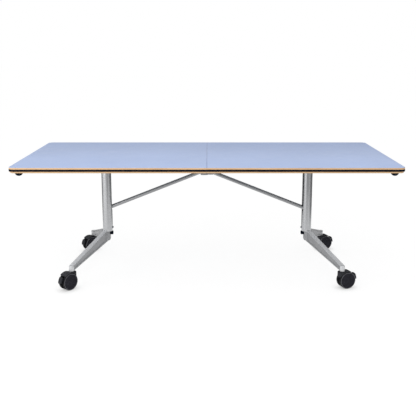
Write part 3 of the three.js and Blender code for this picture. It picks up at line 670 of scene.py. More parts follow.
def laminate_finish(tree):
    """Satin sheet: a fine pebbled face, faint clouds, scattered flecks, and painted shade in a dark
    rim along the seam.
    """
    top = bpy.context.scene.table_top
    place = place_on(tree, "Object")
    clouds = noise(tree, place, 2.2, detail=2.0)
    flecks = noise(tree, place, 520.0, detail=2.0)
    pebbles = noise(tree, place, 1500.0, detail=1.0)
    from_seam = maths(tree, "ABSOLUTE", coordinate(tree, place, "X"))
    inward = spread(tree, from_seam, 0.0, 1.0, 0.0, 2 * top.seam_ease)
    cloudy = shades(tree, clouds, top.laminate, {0.3: 0.985, 0.7: 1.012})
    fleck = ramp(tree, flecks, {0.36: (0.955, 0.957, 0.965), 0.5: WHITE})
    # painted shade: the sheet darkens within the seam's easing, where shade falls into the joint
    # between the half tops
    rim = ramp(tree, inward, {0.75: (0.88, 0.89, 0.93), 1.0: WHITE})
    return {
        "Base Color": multiplied(tree, cloudy, fleck, rim),
        "Roughness": spread(tree, noise(tree, place, 14.0), 0.42, 0.52),
        "Specular IOR Level": 0.2,
        "Normal": bump(tree, pebbles, 0.00004, 0.5),
    }


def wood_finish(tree):
    """Lacquered lipping: long fibres along the edge, drifting bands and short dark pores."""
    top = bpy.context.scene.table_top
    bands = noise(tree, place_on(tree, "UV", (1.6, 95.0, 1.0)), 1.0, detail=4.0, roughness=0.6)
    fibres = noise(tree, place_on(tree, "UV", (9.0, 1300.0, 1.0)), 1.0)
    pores = noise(tree, place_on(tree, "UV", (60.0, 1800.0, 1.0)), 1.0, detail=1.0)
    band = ramp(tree, bands, {0.3: top.wood_grain, 0.46: top.wood, 0.75: shaded(top.wood, 1.03)})
    fibre = ramp(tree, fibres, {0.3: (0.90, 0.87, 0.84), 0.62: WHITE})
    pore = ramp(tree, pores, {0.27: (0.76, 0.68, 0.60), 0.34: WHITE})
    return {
        "Base Color": multiplied(tree, band, fibre, pore),
        "Roughness": spread(tree, fibres, 0.38, 0.52),
        "Specular IOR Level": 0.25,
        "Normal": bump(tree, fibres, 0.00005, 0.4),
    }


def board_finish(tree):
    """Core of pressed chips with a pale smooth backing sheet on its underside."""
    top = bpy.context.scene.table_top
    place = place_on(tree, "Object")
    cloud = noise(tree, place, 6.0)
    grit = noise(tree, place, 1400.0, detail=1.0)
    chips = shades(
        tree, cells(tree, place, 260.0, "Color"), top.board, {0.2: 0.8, 0.55: 1.0, 0.85: 1.2}
    )
    backing = shades(tree, cloud, top.backing, {0.3: 0.97, 0.7: 1.02})
    sheet_top = PANEL_LOW[2] + top.backing_sheet
    above = maths(tree, "GREATER_THAN", coordinate(tree, place, "Z"), sheet_top)
    return {
        "Base Color": blended(tree, "MIX", above, backing, chips),
        "Roughness": spread(tree, cloud, 0.5, 0.68),
        "Normal": bump(tree, grit, 0.00004, 0.5),
    }


def rubber_finish(tree):
    """Matt moulded rubber with a dusty bloom and a fine grain."""
    place = place_on(tree, "Object")
    bloom = noise(tree, place, 38.0, detail=4.0, roughness=0.6)
    grain = noise(tree, place, 1900.0, detail=2.0)
    return {
        "Base Color": shades(
            tree, bloom, bpy.context.scene.table_top.rubber, {0.35: 0.9, 0.75: 1.35}
        ),
        "Roughness": spread(tree, bloom, 0.6, 0.75),
        "Specular IOR Level": 0.03,
        "Normal": bump(tree, grain, 0.00005, 0.6),
    }


def drawn_finish(tree, part):
    """Drawn and satin-brushed bar: long fine scratches, and smudges that change the gloss."""
    screen = getattr(bpy.context.scene.table_frame, part)
    stretched = place_on(tree, "UV", (7.0, 2600.0, 1.0))
    brushed = noise(tree, stretched, 1.0, roughness=0.6)
    smudges = noise(tree, place_on(tree, "Object"), 11.0)
    return {
        "Base Color": shades(tree, brushed, screen, {0.3: 0.94, 0.7: 1.03}),
        "Metallic": 1.0,
        "Roughness": spread(tree, smudges, 0.22, 0.29),
        "Normal": bump(tree, brushed, 0.00002, 0.25),
    }


def casting_finish(tree):
    """Blasted and lacquered die casting: fine sandy grain, faint flow marks, softer gloss."""
    place = place_on(tree, "Object")
    flow = noise(tree, place, 16.0, detail=4.0, roughness=0.6)
    grit = noise(tree, place, 1300.0, detail=2.0)
    return {
        "Base Color": shades(
            tree, flow, bpy.context.scene.table_frame.casting, {0.3: 0.95, 0.72: 1.04}
        ),
        "Metallic": 0.4,
        "Roughness": spread(tree, flow, 0.40, 0.50),
        "Normal": bump(tree, grit, 0.00006, 0.5),
    }


def polished_lit_finish(tree):
    """Ground and polished faces of a casting, painted lighter as if lit from above: faint swirls
    and a closer gloss.
    """
    swirls = noise(tree, place_on(tree, "Object"), 60.0, detail=5.0, roughness=0.7)
    return {
        "Base Color": shades(
            tree, swirls, bpy.context.scene.table_frame.polished, {0.3: 0.96, 0.7: 1.03}
        ),
        "Metallic": 0.3,
        "Roughness": spread(tree, swirls, 0.26, 0.36),
        "Normal": bump(tree, swirls, 0.00003, 0.4),
    }


def steel_finish(tree):
    """Zinc-plated steel: small cloudy spangles and a slightly uneven gloss."""
    place = place_on(tree, "Object")
    spangles = cells(tree, place, 150.0, "Color")
    cloud = noise(tree, place, 45.0)
    return {
        "Base Color": shades(
            tree, spangles, bpy.context.scene.table_frame.steel, {0.1: 0.9, 0.9: 1.08}
        ),
        "Metallic": 0.95,
        "Roughness": spread(tree, cloud, 0.3, 0.44),
        "Normal": bump(tree, cloud, 0.00008, 0.4),
    }


def moulded_finish(tree, part, gloss, grain, shine):
    """Moulded plastic: a fine leathery grain, scuffs that are lighter and duller."""
    screen = getattr(bpy.context.scene.table_castor, part)
    place = place_on(tree, "Object")
    scuffs = noise(tree, place, 70.0, detail=4.0, roughness=0.65)
    return {
        "Base Color": shades(tree, scuffs, screen, {0.4: 1.0, 0.78: 1.45}),
        "Roughness": spread(tree, scuffs, gloss, gloss + 0.12),
        "Specular IOR Level": shine,
        "Normal": bump(tree, cells(tree, place, grain, "Distance"), 0.00006, 0.5),
    }


Finish = namedtuple("Finish", "sockets slot")


def castor_finish(part, slot, gloss, grain, shine):
    """A moulded finish of a castor's part: its lowest roughness, cells in a metre and sheen."""
    return Finish(
        partial(moulded_finish, part=part, gloss=gloss, grain=grain, shine=shine), slot
    )


FINISHES = {
    "pebbled_laminate": Finish(laminate_finish, "blue_laminate"),
    "lacquered_wood": Finish(wood_finish, "edge_wood"),
    "pressed_board": Finish(board_finish, "core_board"),
    "moulded_rubber": Finish(rubber_finish, "black_rubber"),
    "brushed_aluminium": Finish(partial(drawn_finish, part="aluminium"), "satin_aluminium"),
    # the struts' copy of the aluminium is darker, as painted shade under the top
    "dark_aluminium": Finish(partial(drawn_finish, part="strut_metal"), "satin_aluminium"),
    "blasted_casting": Finish(casting_finish, "cast_aluminium"),
    "polished_casting": Finish(polished_lit_finish, "cast_aluminium"),
    "zinc_plating": Finish(steel_finish, "zinc_steel"),
    "hood_plastic": castor_finish("plastic", "black_plastic", 0.40, 900.0, 0.2),
    "wheel_disc": castor_finish("disc", "black_tread", 0.34, 1400.0, 0.1),
    "wheel_tread": castor_finish("tread", "black_tread", 0.52, 1100.0, 0.1),
    "wheel_rim": castor_finish("rim", "black_tread", 0.42, 1400.0, 0.2),
}


def material_of(finish):
    """The material of a named finish, made the first time it is asked for."""
    if finish not in bpy.data.materials:
        tree = empty_tree(bpy.data.materials.new(finish))
        shader = add_node(tree, "ShaderNodeBsdfPrincipled", FINISHES[finish].sockets(tree))
        add_node(tree, "ShaderNodeOutputMaterial", {"Surface": shader.outputs["BSDF"]})
    return bpy.data.materials[finish]


# Table top


class TABLE_OT_laminates(bpy.types.Operator):
    """Make the laminate sheets of the two half tops, their rims eased"""

    bl_idname = "table.laminates"
    bl_label = "Laminates"

    def execute(self, context):
        top = context.scene.table_top
        ease = top.rim_ease
        low, high = LAMINATE_LOW[2], LAMINATE_HIGH[2]
        bend = 0.3  # share of the easing, both in and down, halfway round it
        rows = [(0.0, low), (0.0, high - ease), (bend, high - ease * bend), (1.0, high)]
        loops = [self.loop(share * ease, share * top.seam_ease, level) for share, level in rows]
        sheet = grid(np.stack(loops), capped=True)
        add_pair("laminate_sheet", sheet, ["pebbled_laminate"], "top", "laminate")
        return {"FINISHED"}

    @staticmethod
    def loop(inset, seam_inset, level):
        """Closed outline of a half top at a level, drawn in at its edge and at the seam."""
        edge = half_edge([inset], seam_inset)[:, 0]
        edge = np.vstack([edge, edge[:1]])
        return np.column_stack([edge, np.full(len(edge), level)])


class TABLE_OT_edge_lippings(bpy.types.Operator):
    """Make the wooden lippings: a grooved profile carried round each half top"""

    bl_idname = "table.edge_lippings"
    bl_label = "Edge Lippings"

    def execute(self, context):
        top = context.scene.table_top
        width = PANEL_LOW[0] - TOP_END
        middle = (STRIP_LOW[2] + STRIP_HIGH[2]) / 2
        groove_low, groove_high = middle - top.strip_height / 2, middle + top.strip_height / 2
        corners = [  # inset, level and rounding
            (0.0, groove_high, 0.0006),
            (top.strip_depth, groove_high, 0.0003),
            (top.strip_depth, groove_low, 0.0003),
            (0.0, groove_low, 0.0008),
            (top.lower_bevel, PANEL_LOW[2], 0.0015),
            (width, PANEL_LOW[2], 0.0001),
            (width, PANEL_HIGH[2], 0.0001),
            (0.0, PANEL_HIGH[2], 0.0002),
        ]
        lipping = carried_round_top(rounded(corners))
        add_pair("wood_lipping", lipping, ["lacquered_wood"], "top", "edge_lipping")
        return {"FINISHED"}


class TABLE_OT_bumper_strips(bpy.types.Operator):
    """Make the rubber strips in the lippings, with a softly rounded face"""

    bl_idname = "table.bumper_strips"
    bl_label = "Bumper Strips"

    def execute(self, context):
        face, back = STRIP_LOW[0] - TOP_END, context.scene.table_top.strip_depth
        low, high = STRIP_LOW[2], STRIP_HIGH[2]
        corners = [  # inset, level and rounding
            (face, low, 0.0005), (back, low, 0.0003), (back, high, 0.0003), (face, high, 0.0005),
        ]
        strip = carried_round_top(rounded(corners, steps=6))
        add_pair("rubber_strip", strip, ["moulded_rubber"], "top", "bumper_strip")
        return {"FINISHED"}


class TABLE_OT_panels(bpy.types.Operator):
    """Give the cores of the half tops their chips and backing sheet"""

    bl_idname = "table.panels"
    bl_label = "Core Panels"

    def execute(self, context):
        for side in SIDES:
            materials = frame["nodes"][f"top_panel_{side}"].data.materials
            materials.clear()
            materials.append(material_of("pressed_board"))
        return {"FINISHED"}


class TABLE_OT_corner_buffers(bpy.types.Operator):
    """Make the domed rubber buffers under the outer corners"""

    bl_idname = "table.corner_buffers"
    bl_label = "Corner Buffers"

    def execute(self, context):
        top = context.scene.table_top
        for side, end in product(SIDES, ENDS):
            node = f"corner_buffer_{side}_{end}"
            low, high = extent(node)
            dome = self.dome(top, (high[0] - low[0]) / 2, high[2] - low[2])
            middle = (low + high) / 2
            add_piece(
                f"corner_dome_{side}_{end}", placed(dome, 0, (middle[0], middle[1], high[2])),
                ["moulded_rubber"], f"{side}_top", [node],
            )
        return {"FINISHED"}

    @staticmethod
    def dome(top, radius, height):
        """A quarter ellipse turned about Z, hanging from a flange with a rounded rim."""
        flange = -top.buffer_flange
        swell = radius - top.buffer_step
        angle = np.linspace(0, pi / 2, 13)[:-1]
        bowl = np.stack([swell * np.sin(angle), flange - (height + flange) * np.cos(angle)], 1)
        rim = eased([
            (swell, flange, 0.0), (radius, flange, 0.0008), (radius, SEAT_GAP, 0.0002),
            (0.0, SEAT_GAP, 0.0),
        ])
        return turned(np.vstack([bowl, rim]))


# Fittings under the top


class TABLE_OT_fittings(bpy.types.Operator):
    """Round the edges of the brackets, hinge leaves and column heads"""

    bl_idname = "table.fittings"
    bl_label = "Brackets, Leaves and Heads"

    def execute(self, context):
        width = context.scene.table_frame.plate_round
        for side in SIDES:
            for kind in ("pivot_bracket", "strut_bracket"):
                add_softened(f"{kind}_{side}", "zinc_plating", width)
            for kind in ("hinge_leaf", "column_head"):
                add_softened(f"{kind}_{side}", "blasted_casting", 2 * width)
        return {"FINISHED"}


class TABLE_OT_screws(bpy.types.Operator):
    """Make the screws that hold the brackets and hinge leaves under the half tops"""

    bl_idname = "table.screws"
    bl_label = "Screws"

    def execute(self, context):
        sizes = context.scene.table_frame
        screw = self.screw(sizes)
        heads = [placed(screw, 0, (x, y, PLATE_BOTTOM)) for x, y in self.places(sizes)]
        add_pair("bracket_screws", joined(*heads), ["zinc_plating"], "top")
        return {"FINISHED"}

    @staticmethod
    def screw(sizes):
        """A domed head with a round socket, turned about Z. Its seat lies inside the plate."""
        head, socket = sizes.screw_head / 2, sizes.screw_socket / 2
        seat = 0.001
        angle = np.linspace(0, 1.1, 6)  # radians from the head's edge to its socket
        dome = np.stack([head * np.cos(angle), -sizes.screw_height * np.sin(angle)], 1)
        hole = [(socket, dome[-1, 1]), (socket, 0.0), (0.0, 0.0)]
        return turned(np.vstack([[(0.0, seat), (head, seat)], dome, hole]), sides=20)

    @staticmethod
    def places(sizes):
        """Where the screws stand on the left side: near the free edges of each plate."""
        margin, leaf_margin = sizes.screw_margin, sizes.leaf_margin
        low, high = extent("pivot_bracket_left")
        bracket = product((low[0] + margin, high[0] - margin), (low[1] + margin, high[1] - margin))
        low, high = extent("hinge_leaf_left")
        inner = pivot("centre_hinge")[0] - sizes.knuckle_room
        leaf = product((low[0] + margin, inner), (low[1] + leaf_margin, high[1] - leaf_margin))
        low, high = extent("strut_bracket_left")
        lug = product((low[0] + margin, high[0] - margin), (low[1] + margin,))
        return [*bracket, *leaf, *lug]


# Legs


class TABLE_OT_columns(bpy.types.Operator):
    """Make the oval columns with their round-ended slots"""

    bl_idname = "table.columns"
    bl_label = "Columns"

    def execute(self, context):
        sizes = context.scene.table_frame
        finishes = ["brushed_aluminium"]
        pair = add_pair("oval_column", self.tube(sizes), finishes, "leg", "column", sealed=False)
        for piece in pair:
            thick = piece.modifiers.new("Wall", "SOLIDIFY")
            thick.thickness = sizes.column_wall
            thick.offset = -1
            add_bevel(piece, sizes.plate_round)
        return {"FINISHED"}

    @staticmethod
    def tube(sizes):
        """Skin of a column: two half circles joined by straight sides, carried up.

        Below the slot the outline is whole. The sill between the two parts dips across the slot as
        a half circle, and above it the slot's columns are left out.
        """
        plane, level = pivot("left_strut_swing")[1:]
        half = STRUT_RADIUS + sizes.slot_clearance
        start = np.arcsin((plane + half - COLUMN_STRAIGHT) / COLUMN_RADIUS)
        rear = np.linspace(start, pi, 28)
        front = np.linspace(pi, 2 * pi, 33)
        shift = np.repeat([COLUMN_STRAIGHT, -COLUMN_STRAIGHT], [len(rear), len(front)])
        round_x, round_y = polar(COLUMN_RADIUS, np.append(rear, front)).T
        across = np.linspace(0, pi, 17)
        slot_y = plane - half * np.cos(across)
        past = np.maximum(np.abs(slot_y) - COLUMN_STRAIGHT, 0)
        slot_x = np.sqrt(COLUMN_RADIUS**2 - past**2)
        x = COLUMN_X + np.append(round_x, slot_x)
        y = np.append(round_y + shift, slot_y)
        brim = level - sizes.slot_below + half
        sill = np.append(np.full(len(round_x), brim), brim - half * np.sin(across))
        share = np.linspace(0, 1, 9)[:, None]

        def wall(low, high, count):
            """Rows from one level to another through the outline's first points."""
            rows = low + (high - low) * share
            flat = np.broadcast_to(np.stack([x, y], -1), (*rows.shape, 2))
            return grid(np.concatenate([flat, rows[..., None]], -1)[:, :count])

        whole = wall(np.full(len(x), COLUMN_LOW[2]), sill, len(x))
        slotted = wall(sill, np.full(len(x), COLUMN_HIGH[2]), len(round_x) + 1)
        slotted = slotted._replace(uv=slotted.uv + (brim - COLUMN_LOW[2], 0))
        return joined(whole, slotted)


class TABLE_OT_struts(bpy.types.Operator):
    """Make the struts: a round bar with a rounded eye at each end"""

    bl_idname = "table.struts"
    bl_label = "Struts"

    def execute(self, context):
        sizes = context.scene.table_frame
        foot = pivot("left_strut_swing")
        low, high = extent("strut_bracket_right")
        rise = pivot("left_fold")[2] - foot[2]
        reach = (low[0] + high[0]) / 2 - foot[0]
        span = hypot(reach, rise)
        radius = STRUT_RADIUS
        inset = 0.7 * radius  # from a pin's axis to the bar's end inside the eye
        stations = run(inset, span - inset, sizes.bar_ease, steps=1)
        bar = carried(polar(radius, np.linspace(0, 2 * pi, 41)), *stations, lengthwise)
        ring = box_outline(sizes.strut_bore / 2, radius, -radius, radius, sizes.eye_round)
        eye = laid(turned(ring), 1)
        strut = joined(bar, eye, placed(eye, 0, (span, 0, 0)))
        strut = placed(tilted(strut, atan2(rise, reach)), 0, foot)
        add_pair("round_strut", strut, ["dark_aluminium"], "strut", "strut")
        return {"FINISHED"}


class TABLE_OT_pins(bpy.types.Operator):
    """Make the hinge pins, pivot pins and strut pins with chamfered ends"""

    bl_idname = "table.pins"
    bl_label = "Pins"

    def execute(self, context):
        sizes = context.scene.table_frame
        for end in ENDS:
            self.add(f"hinge_pin_{end}", "left_top", sizes)
        for side in SIDES:
            self.add(f"strut_pin_{side}", f"{side}_leg", sizes)
            self.add(f"pivot_pin_{side}", f"{side}_leg", sizes, headed=True)
        return {"FINISHED"}

    @staticmethod
    def add(node, body, sizes, headed=False):
        """A pin in its node's box, along Y, with a head on the side away from the middle."""
        low, high = extent(node)
        radius = (high[0] - low[0]) / 2
        half = (high[1] - low[1]) / 2
        chamfer = sizes.pin_chamfer
        shank = sizes.pivot_shank / 2 if headed else radius
        profile = [(0, -half), (radius - chamfer, -half), (radius, chamfer - half)]
        if headed:
            head = sizes.pivot_head - half
            profile += [(radius, head - chamfer), (radius - chamfer, head), (shank, head)]
        profile += [(shank, half - chamfer), (shank - chamfer, half), (0, half)]
        turn = pi if headed and node.endswith("right") else 0
        shape = placed(laid(turned(profile, sides=32), 1), turn, (low + high) / 2)
        add_piece(node + "_round", shape, ["zinc_plating"], body, [node])


class TABLE_OT_feet(bpy.types.Operator):
    """Make the cast feet: a hub with two flanged arms that end in round posts"""

    bl_idname = "table.feet"
    bl_label = "Feet"

    def execute(self, context):
        sizes = context.scene.table_frame
        parts = [self.hub(sizes), self.spigot(sizes)]
        for end in ENDS:
            tip = pivot(f"swivel_left_{end}")
            parts += [self.arm(sizes, tip), self.post(sizes, tip)]
        finishes = ["blasted_casting", "polished_casting"]
        add_pair("cast_foot", joined(*parts), finishes, "leg", "foot")
        return {"FINISHED"}

    @staticmethod
    def hub(sizes):
        """An oblong with its corners cut off, carried up, all edges rounded."""
        inner = COLUMN_HIGH[0] - sizes.hub_recess
        outer = inner - sizes.hub_width
        side = sizes.hub_depth / 2
        cut = sizes.hub_chamfer
        flat = side - cut
        edge = sizes.casting_round
        corners = [
            (inner, -flat), (inner, flat), (inner - cut, side), (outer + cut, side),
            (outer, flat), (outer, -flat), (outer + cut, -side), (inner - cut, -side),
        ]
        outline = rounded([(x, y, 2 * edge) for x, y in corners])
        return carried(outline, *run(sizes.hub_bottom, COLUMN_LOW[2] - SEAT_GAP, edge), upright)

    @staticmethod
    def spigot(sizes):
        """The column's oval drawn in by its wall, carried up from the hub into the column."""
        angle = np.linspace(0, 2 * pi, 41)
        outline = polar(COLUMN_RADIUS - sizes.column_wall - SEAT_GAP, angle)
        shift = np.where(np.sin(angle) >= 0, COLUMN_STRAIGHT, -COLUMN_STRAIGHT)
        outline += np.stack([np.full(len(angle), COLUMN_X), shift], 1)
        outline[-1] = outline[0]
        start = COLUMN_LOW[2] - sizes.spigot_root
        return carried(
            outline, *run(start, COLUMN_LOW[2] + sizes.spigot, sizes.spigot_ease), upright
        )

    @staticmethod
    def arm(sizes, tip):
        """A flanged section drawn straight from the column to the castor, its top face polished and
        painted lighter, as the light falling from above.

        Between root and tip each point of the section moves in a straight line.
        """
        wide, web, keel = sizes.arm_width / 2, sizes.arm_web / 2, sizes.arm_keel_width / 2
        edge = sizes.casting_round

        def section(top, bottom):
            """Outline of the arm between two levels: rib, web and flange."""
            lip = top - sizes.arm_flange
            rib = bottom + sizes.arm_keel
            right = [  # across, level and rounding
                (keel, bottom, edge), (keel, rib, 0.55 * edge), (web, rib, 0.55 * edge),
                (web, lip, 0.6 * edge), (wide, lip, 0.8 * edge), (wide, top, 1.2 * edge),
            ]
            left = [(-across, level, radius) for across, level, radius in reversed(right)]
            return rounded(right + left, steps=5)

        root = np.array([COLUMN_X, 0.0])
        along = unit(tip[:2] - root)
        across = np.array([-along[1], along[0]])
        reach = np.linalg.norm(tip[:2] - root)
        share = np.linspace(0, 0.997, 12)[:, None, None]  # it ends just short of the post's axis
        first = section(sizes.arm_root_top, sizes.hub_bottom)
        last = section(sizes.arm_tip_top, tip[2])
        flat = first + (last - first) * share
        place = root + along * reach * share + across * flat[..., :1]
        bar = grid(np.concatenate([place, flat[..., 1:]], -1), capped=True)
        # painted light: the flange's top face takes the lighter polished copy, the flanks keep the
        # plain casting
        upper = flat[0, :-1, 1] > sizes.arm_root_top - edge
        return bar._replace(paint=np.tile(upper.astype(int), len(share) - 1))

    @staticmethod
    def post(sizes, tip):
        """A polished drum at an arm's tip, painted lighter as the light on it, turned about the
        castor's stem.
        """
        wide, edge = sizes.arm_width / 2, sizes.casting_round
        top, bottom = sizes.arm_tip_top, tip[2]
        corners = [(0, top, 0), (wide, top, 2 * edge), (wide, bottom, edge / 2), (0, bottom, 0)]
        drum = turned(eased(corners, steps=5), sides=48, paint=1)
        return placed(drum, 0, (tip[0], tip[1], 0))


class TABLE_OT_stops(bpy.types.Operator):
    """Make the round rubber stops and the clamp bolts on the inner side of the legs"""

    bl_idname = "table.stops"
    bl_label = "Stops and Clamp Bolts"

    def execute(self, context):
        for side in SIDES:
            self.add("rubber_stop", "stop_buffer", side, self.stop, "moulded_rubber")
            self.add("button_bolt", "clamp_bolt", side, self.bolt, "zinc_plating")
        return {"FINISHED"}

    @staticmethod
    def add(name, node, side, profile, finish):
        """A profile turned about an axis along X, from the leg towards the middle."""
        low, high = extent(f"{node}_{side}")
        start = low if side == "left" else high
        middle = (low + high) / 2
        shape = laid(turned(profile((high[2] - low[2]) / 2, high[0] - low[0])), 0)
        shape = placed(shape, SIDES[side], (start[0], middle[1], middle[2]))
        add_piece(f"{name}_{side}", shape, [finish], f"{side}_leg", [f"{node}_{side}"])

    @staticmethod
    def stop(radius, face):
        """Profile of a rubber stop, from inside the column's wall to a dish in its face."""
        root = -0.001
        dish = face - 0.0012
        return eased([  # radius, height and rounding
            (0, root, 0), (radius, root, 0.0002), (radius, face, 0.0030),
            (0.55 * radius, face, 0.0005), (0.5 * radius, dish, 0.0005), (0, dish, 0),
        ], steps=5)

    @staticmethod
    def bolt(radius, face):
        """Profile of a bolt with a button head and a round socket."""
        shank, crown, socket = 0.0040, 0.0055, 0.0030
        head = face - 0.0060
        brim = head + 0.0025
        floor = face - 0.0030
        return eased([  # radius, height and rounding
            (0, 0, 0), (shank, 0, 0.0004), (shank, head, 0.0002), (radius, head, 0.0003),
            (radius, brim, 0.0015), (crown, face, 0.0008), (socket, face, 0.0003),
            (socket, floor, 0.0002), (0, floor, 0),
        ])


# Castors, drawn with the stem on Z and the trail along +X

Castor = namedtuple("Castor", "name turn place trail radius")


def castors():
    """Where each castor stands, how it is turned, and its trail and wheel radius."""
    for side, end in product(SIDES, ENDS):
        name = f"{side}_{end}"
        stem = pivot(f"swivel_{name}")
        axle = pivot(f"roll_{name}_a")
        trail = axle - stem
        turn = atan2(trail[1], trail[0])
        yield Castor(name, turn, (stem[0], stem[1], 0), hypot(trail[0], trail[1]), axle[2])


def add_castor_piece(castor, name, shape, finishes, body, node, mark=""):
    """Sets a piece where the castor stands and replaces its node."""
    shape = placed(shape, castor.turn, castor.place)
    ending = castor.name + mark
    add_piece(f"{name}_{castor.name}", shape, finishes, f"{body}_{ending}", [f"{node}_{ending}"])


def wheels_half(sizes):
    """Half the width over the two wheels of a castor."""
    return sizes.wheel_space / 2 + sizes.wheel_width


def web_half(sizes):
    """Half the width of what stands between the two wheels of a castor."""
    return sizes.wheel_space / 2 - sizes.web_gap


def on_axle(castor, shape, turn=0.0):
    """A turned surface with its axis laid on a castor's axle."""
    return placed(laid(shape, 1), turn, (castor.trail, 0, castor.radius))


def round_axle(castor):
    """Placing of an outline of (radius, width) pairs carried round a castor's axle."""
    def place(p, q, angle):
        return castor.trail + p * np.cos(angle), -q, castor.radius + p * np.sin(angle)
    return place


def axle_sector(castor, r0, r1, start, stop, half, ease):
    """Plate round the axle, between two radii and two angles, of the width 2 half."""
    angle = np.linspace(start, stop, 25)
    outer = polar(r1, angle)
    inner = polar(r0, angle[::-1])
    outline = np.vstack([outer, inner, outer[:1]]) + (castor.trail, castor.radius)
    return carried(outline, *run(-half, half, ease), crosswise)


class TABLE_OT_castor_wheels(bpy.types.Operator):
    """Make the castor wheels: rounded treads, raised rims and sunken discs"""

    bl_idname = "table.castor_wheels"
    bl_label = "Castor Wheels"

    def execute(self, context):
        sizes = context.scene.table_castor
        finishes = ["wheel_tread", "wheel_disc", "wheel_rim"]
        for castor in castors():
            wheel = self.wheel(sizes, castor.radius)
            for mark, turn in (("a", pi), ("b", 0.0)):
                add_castor_piece(
                    castor, f"twin_wheel_{mark}", on_axle(castor, wheel, turn), finishes,
                    "wheel", "castor_wheel", f"_{mark}",
                )
        return {"FINISHED"}

    @staticmethod
    def wheel(sizes, radius):
        """Profile of a wheel, turned about its axle: disc and rim, a ring painted lighter as a
        highlight, then tread to bore.

        Its corners are radius, place along the axle and rounding.
        """
        inner, outer = sizes.wheel_space / 2, wheels_half(sizes)
        disc = outer - sizes.dish_depth
        dish = sizes.dish_diameter / 2
        bore = sizes.axle / 2 + SEAT_GAP
        cap, cap_face = 0.012, disc + 0.0006  # raised middle of the disc
        rim = radius - 0.0075  # the raised rim ends here, with a groove round it
        groove = outer - 0.0012
        ring = outer - 0.0004  # face of the worn ring outside the groove
        shoulder = radius - 0.0026  # where the faces bend over to the tread
        hub, hollow = 0.0125, inner + 0.0015  # boss on the inner face, and the hollow round it
        bore_end = disc - 0.0015
        # face of the ring outside the groove, painted lighter as a highlight
        face = [
            (0, cap_face, 0), (cap - 0.001, cap_face, 0.0004), (cap, disc, 0.0004),
            (dish, disc, 0.0006), (dish + 0.0016, outer, 0.0006), (rim, outer, 0.0004),
            (rim + 0.0008, groove, 0.0004), (rim + 0.0020, groove, 0),
        ]
        # painted highlight: this ring takes the lighter rim colour
        edge = [
            face[-1], (rim + 0.0026, ring, 0.0003), (shoulder, ring, 0.0008),
            (radius - 0.0012, outer - 0.0017, 0),
        ]
        tread = [
            edge[-1], (radius, outer - sizes.tread_round, 0.0015),
            (radius, inner + sizes.tread_round, 0.0020), (shoulder, inner, 0.0016),
            (radius - 0.0120, inner, 0.0005), (radius - 0.0140, hollow, 0.0005),
            (hub + 0.0015, hollow, 0.0005), (hub, inner, 0.0005), (bore, inner, 0.0002),
            (bore, bore_end, 0.0002), (0, bore_end, 0),
        ]
        return joined(
            turned(eased(face), sides=64, paint=1), turned(eased(edge), sides=64, paint=2),
            turned(eased(tread), sides=64),
        )


class TABLE_OT_castor_housings(bpy.types.Operator):
    """Make the castor housings: a hood with a round nose, a web and a boss round the axle"""

    bl_idname = "table.castor_housings"
    bl_label = "Castor Housings"

    def execute(self, context):
        sizes = context.scene.table_castor
        half, width = web_half(sizes), wheels_half(sizes)
        web_root = sizes.axle / 2 + 0.002  # inside the boss
        for castor in castors():
            inside = castor.radius + sizes.hood_gap
            web_tip = inside + 0.001  # inside the hood
            band = box_outline(inside, inside + sizes.hood_wall, -width, width, sizes.hood_round)
            sweep = run(
                sizes.hood_start, sizes.hood_end, sizes.hood_ease, pitch=1 / inside, middle=30
            )
            hood = carried(band, *sweep, round_axle(castor))
            web = axle_sector(
                castor, web_root, web_tip, sizes.web_start, sizes.web_end, half, sizes.web_round
            )
            ring = box_outline(
                sizes.axle / 2 + SEAT_GAP, sizes.axle_boss / 2, -half, half, sizes.web_round
            )
            boss = on_axle(castor, turned(ring))
            housing = joined(hood, web, boss, self.nose(sizes, castor, inside))
            add_castor_piece(
                castor, "castor_hood", housing, ["hood_plastic"], "castor", "castor_housing"
            )
        return {"FINISHED"}

    @staticmethod
    def nose(sizes, castor, inside):
        """The round nose about the stem, turned about Z and lifted clear of the wheels.

        Behind the stem it is pressed flat, under the hood. Each point below the hood's inside, a
        circle round the axle, rises to it: z = axle + sqrt(inside^2 - (x - trail)^2).
        """
        radius = wheels_half(sizes)
        high = pivot(f"swivel_{castor.name}")[2] - sizes.collar_height - 2 * SEAT_GAP
        low = sizes.nose_bottom
        hollow, lip = 0.88 * radius, 0.9 * radius  # where the underside ends and the wall starts
        pressed = 0.3  # share of its depth that is left behind the stem
        steps = 5
        wall = eased(
            [(lip, low, 0), (radius, low, 0.0008), (radius, high, 0.0030), (0, high, 0)],
            steps=steps,
        )
        lower, upper = wall[:steps + 2], wall[steps + 2:]
        side = np.linspace(lower[-1], upper[0], 12)[1:-1]
        under = np.linspace((0, low), (hollow, low), 14)
        nose = turned(np.vstack([under, lower, side, upper]), sides=64)
        x, y, z = nose.points.T
        x = np.where(x > 0, pressed * x, x)
        hood = castor.radius + np.sqrt(np.maximum(inside**2 - (x - castor.trail) ** 2, 0))
        return nose._replace(points=np.stack([x, y, np.maximum(z, hood)], 1))


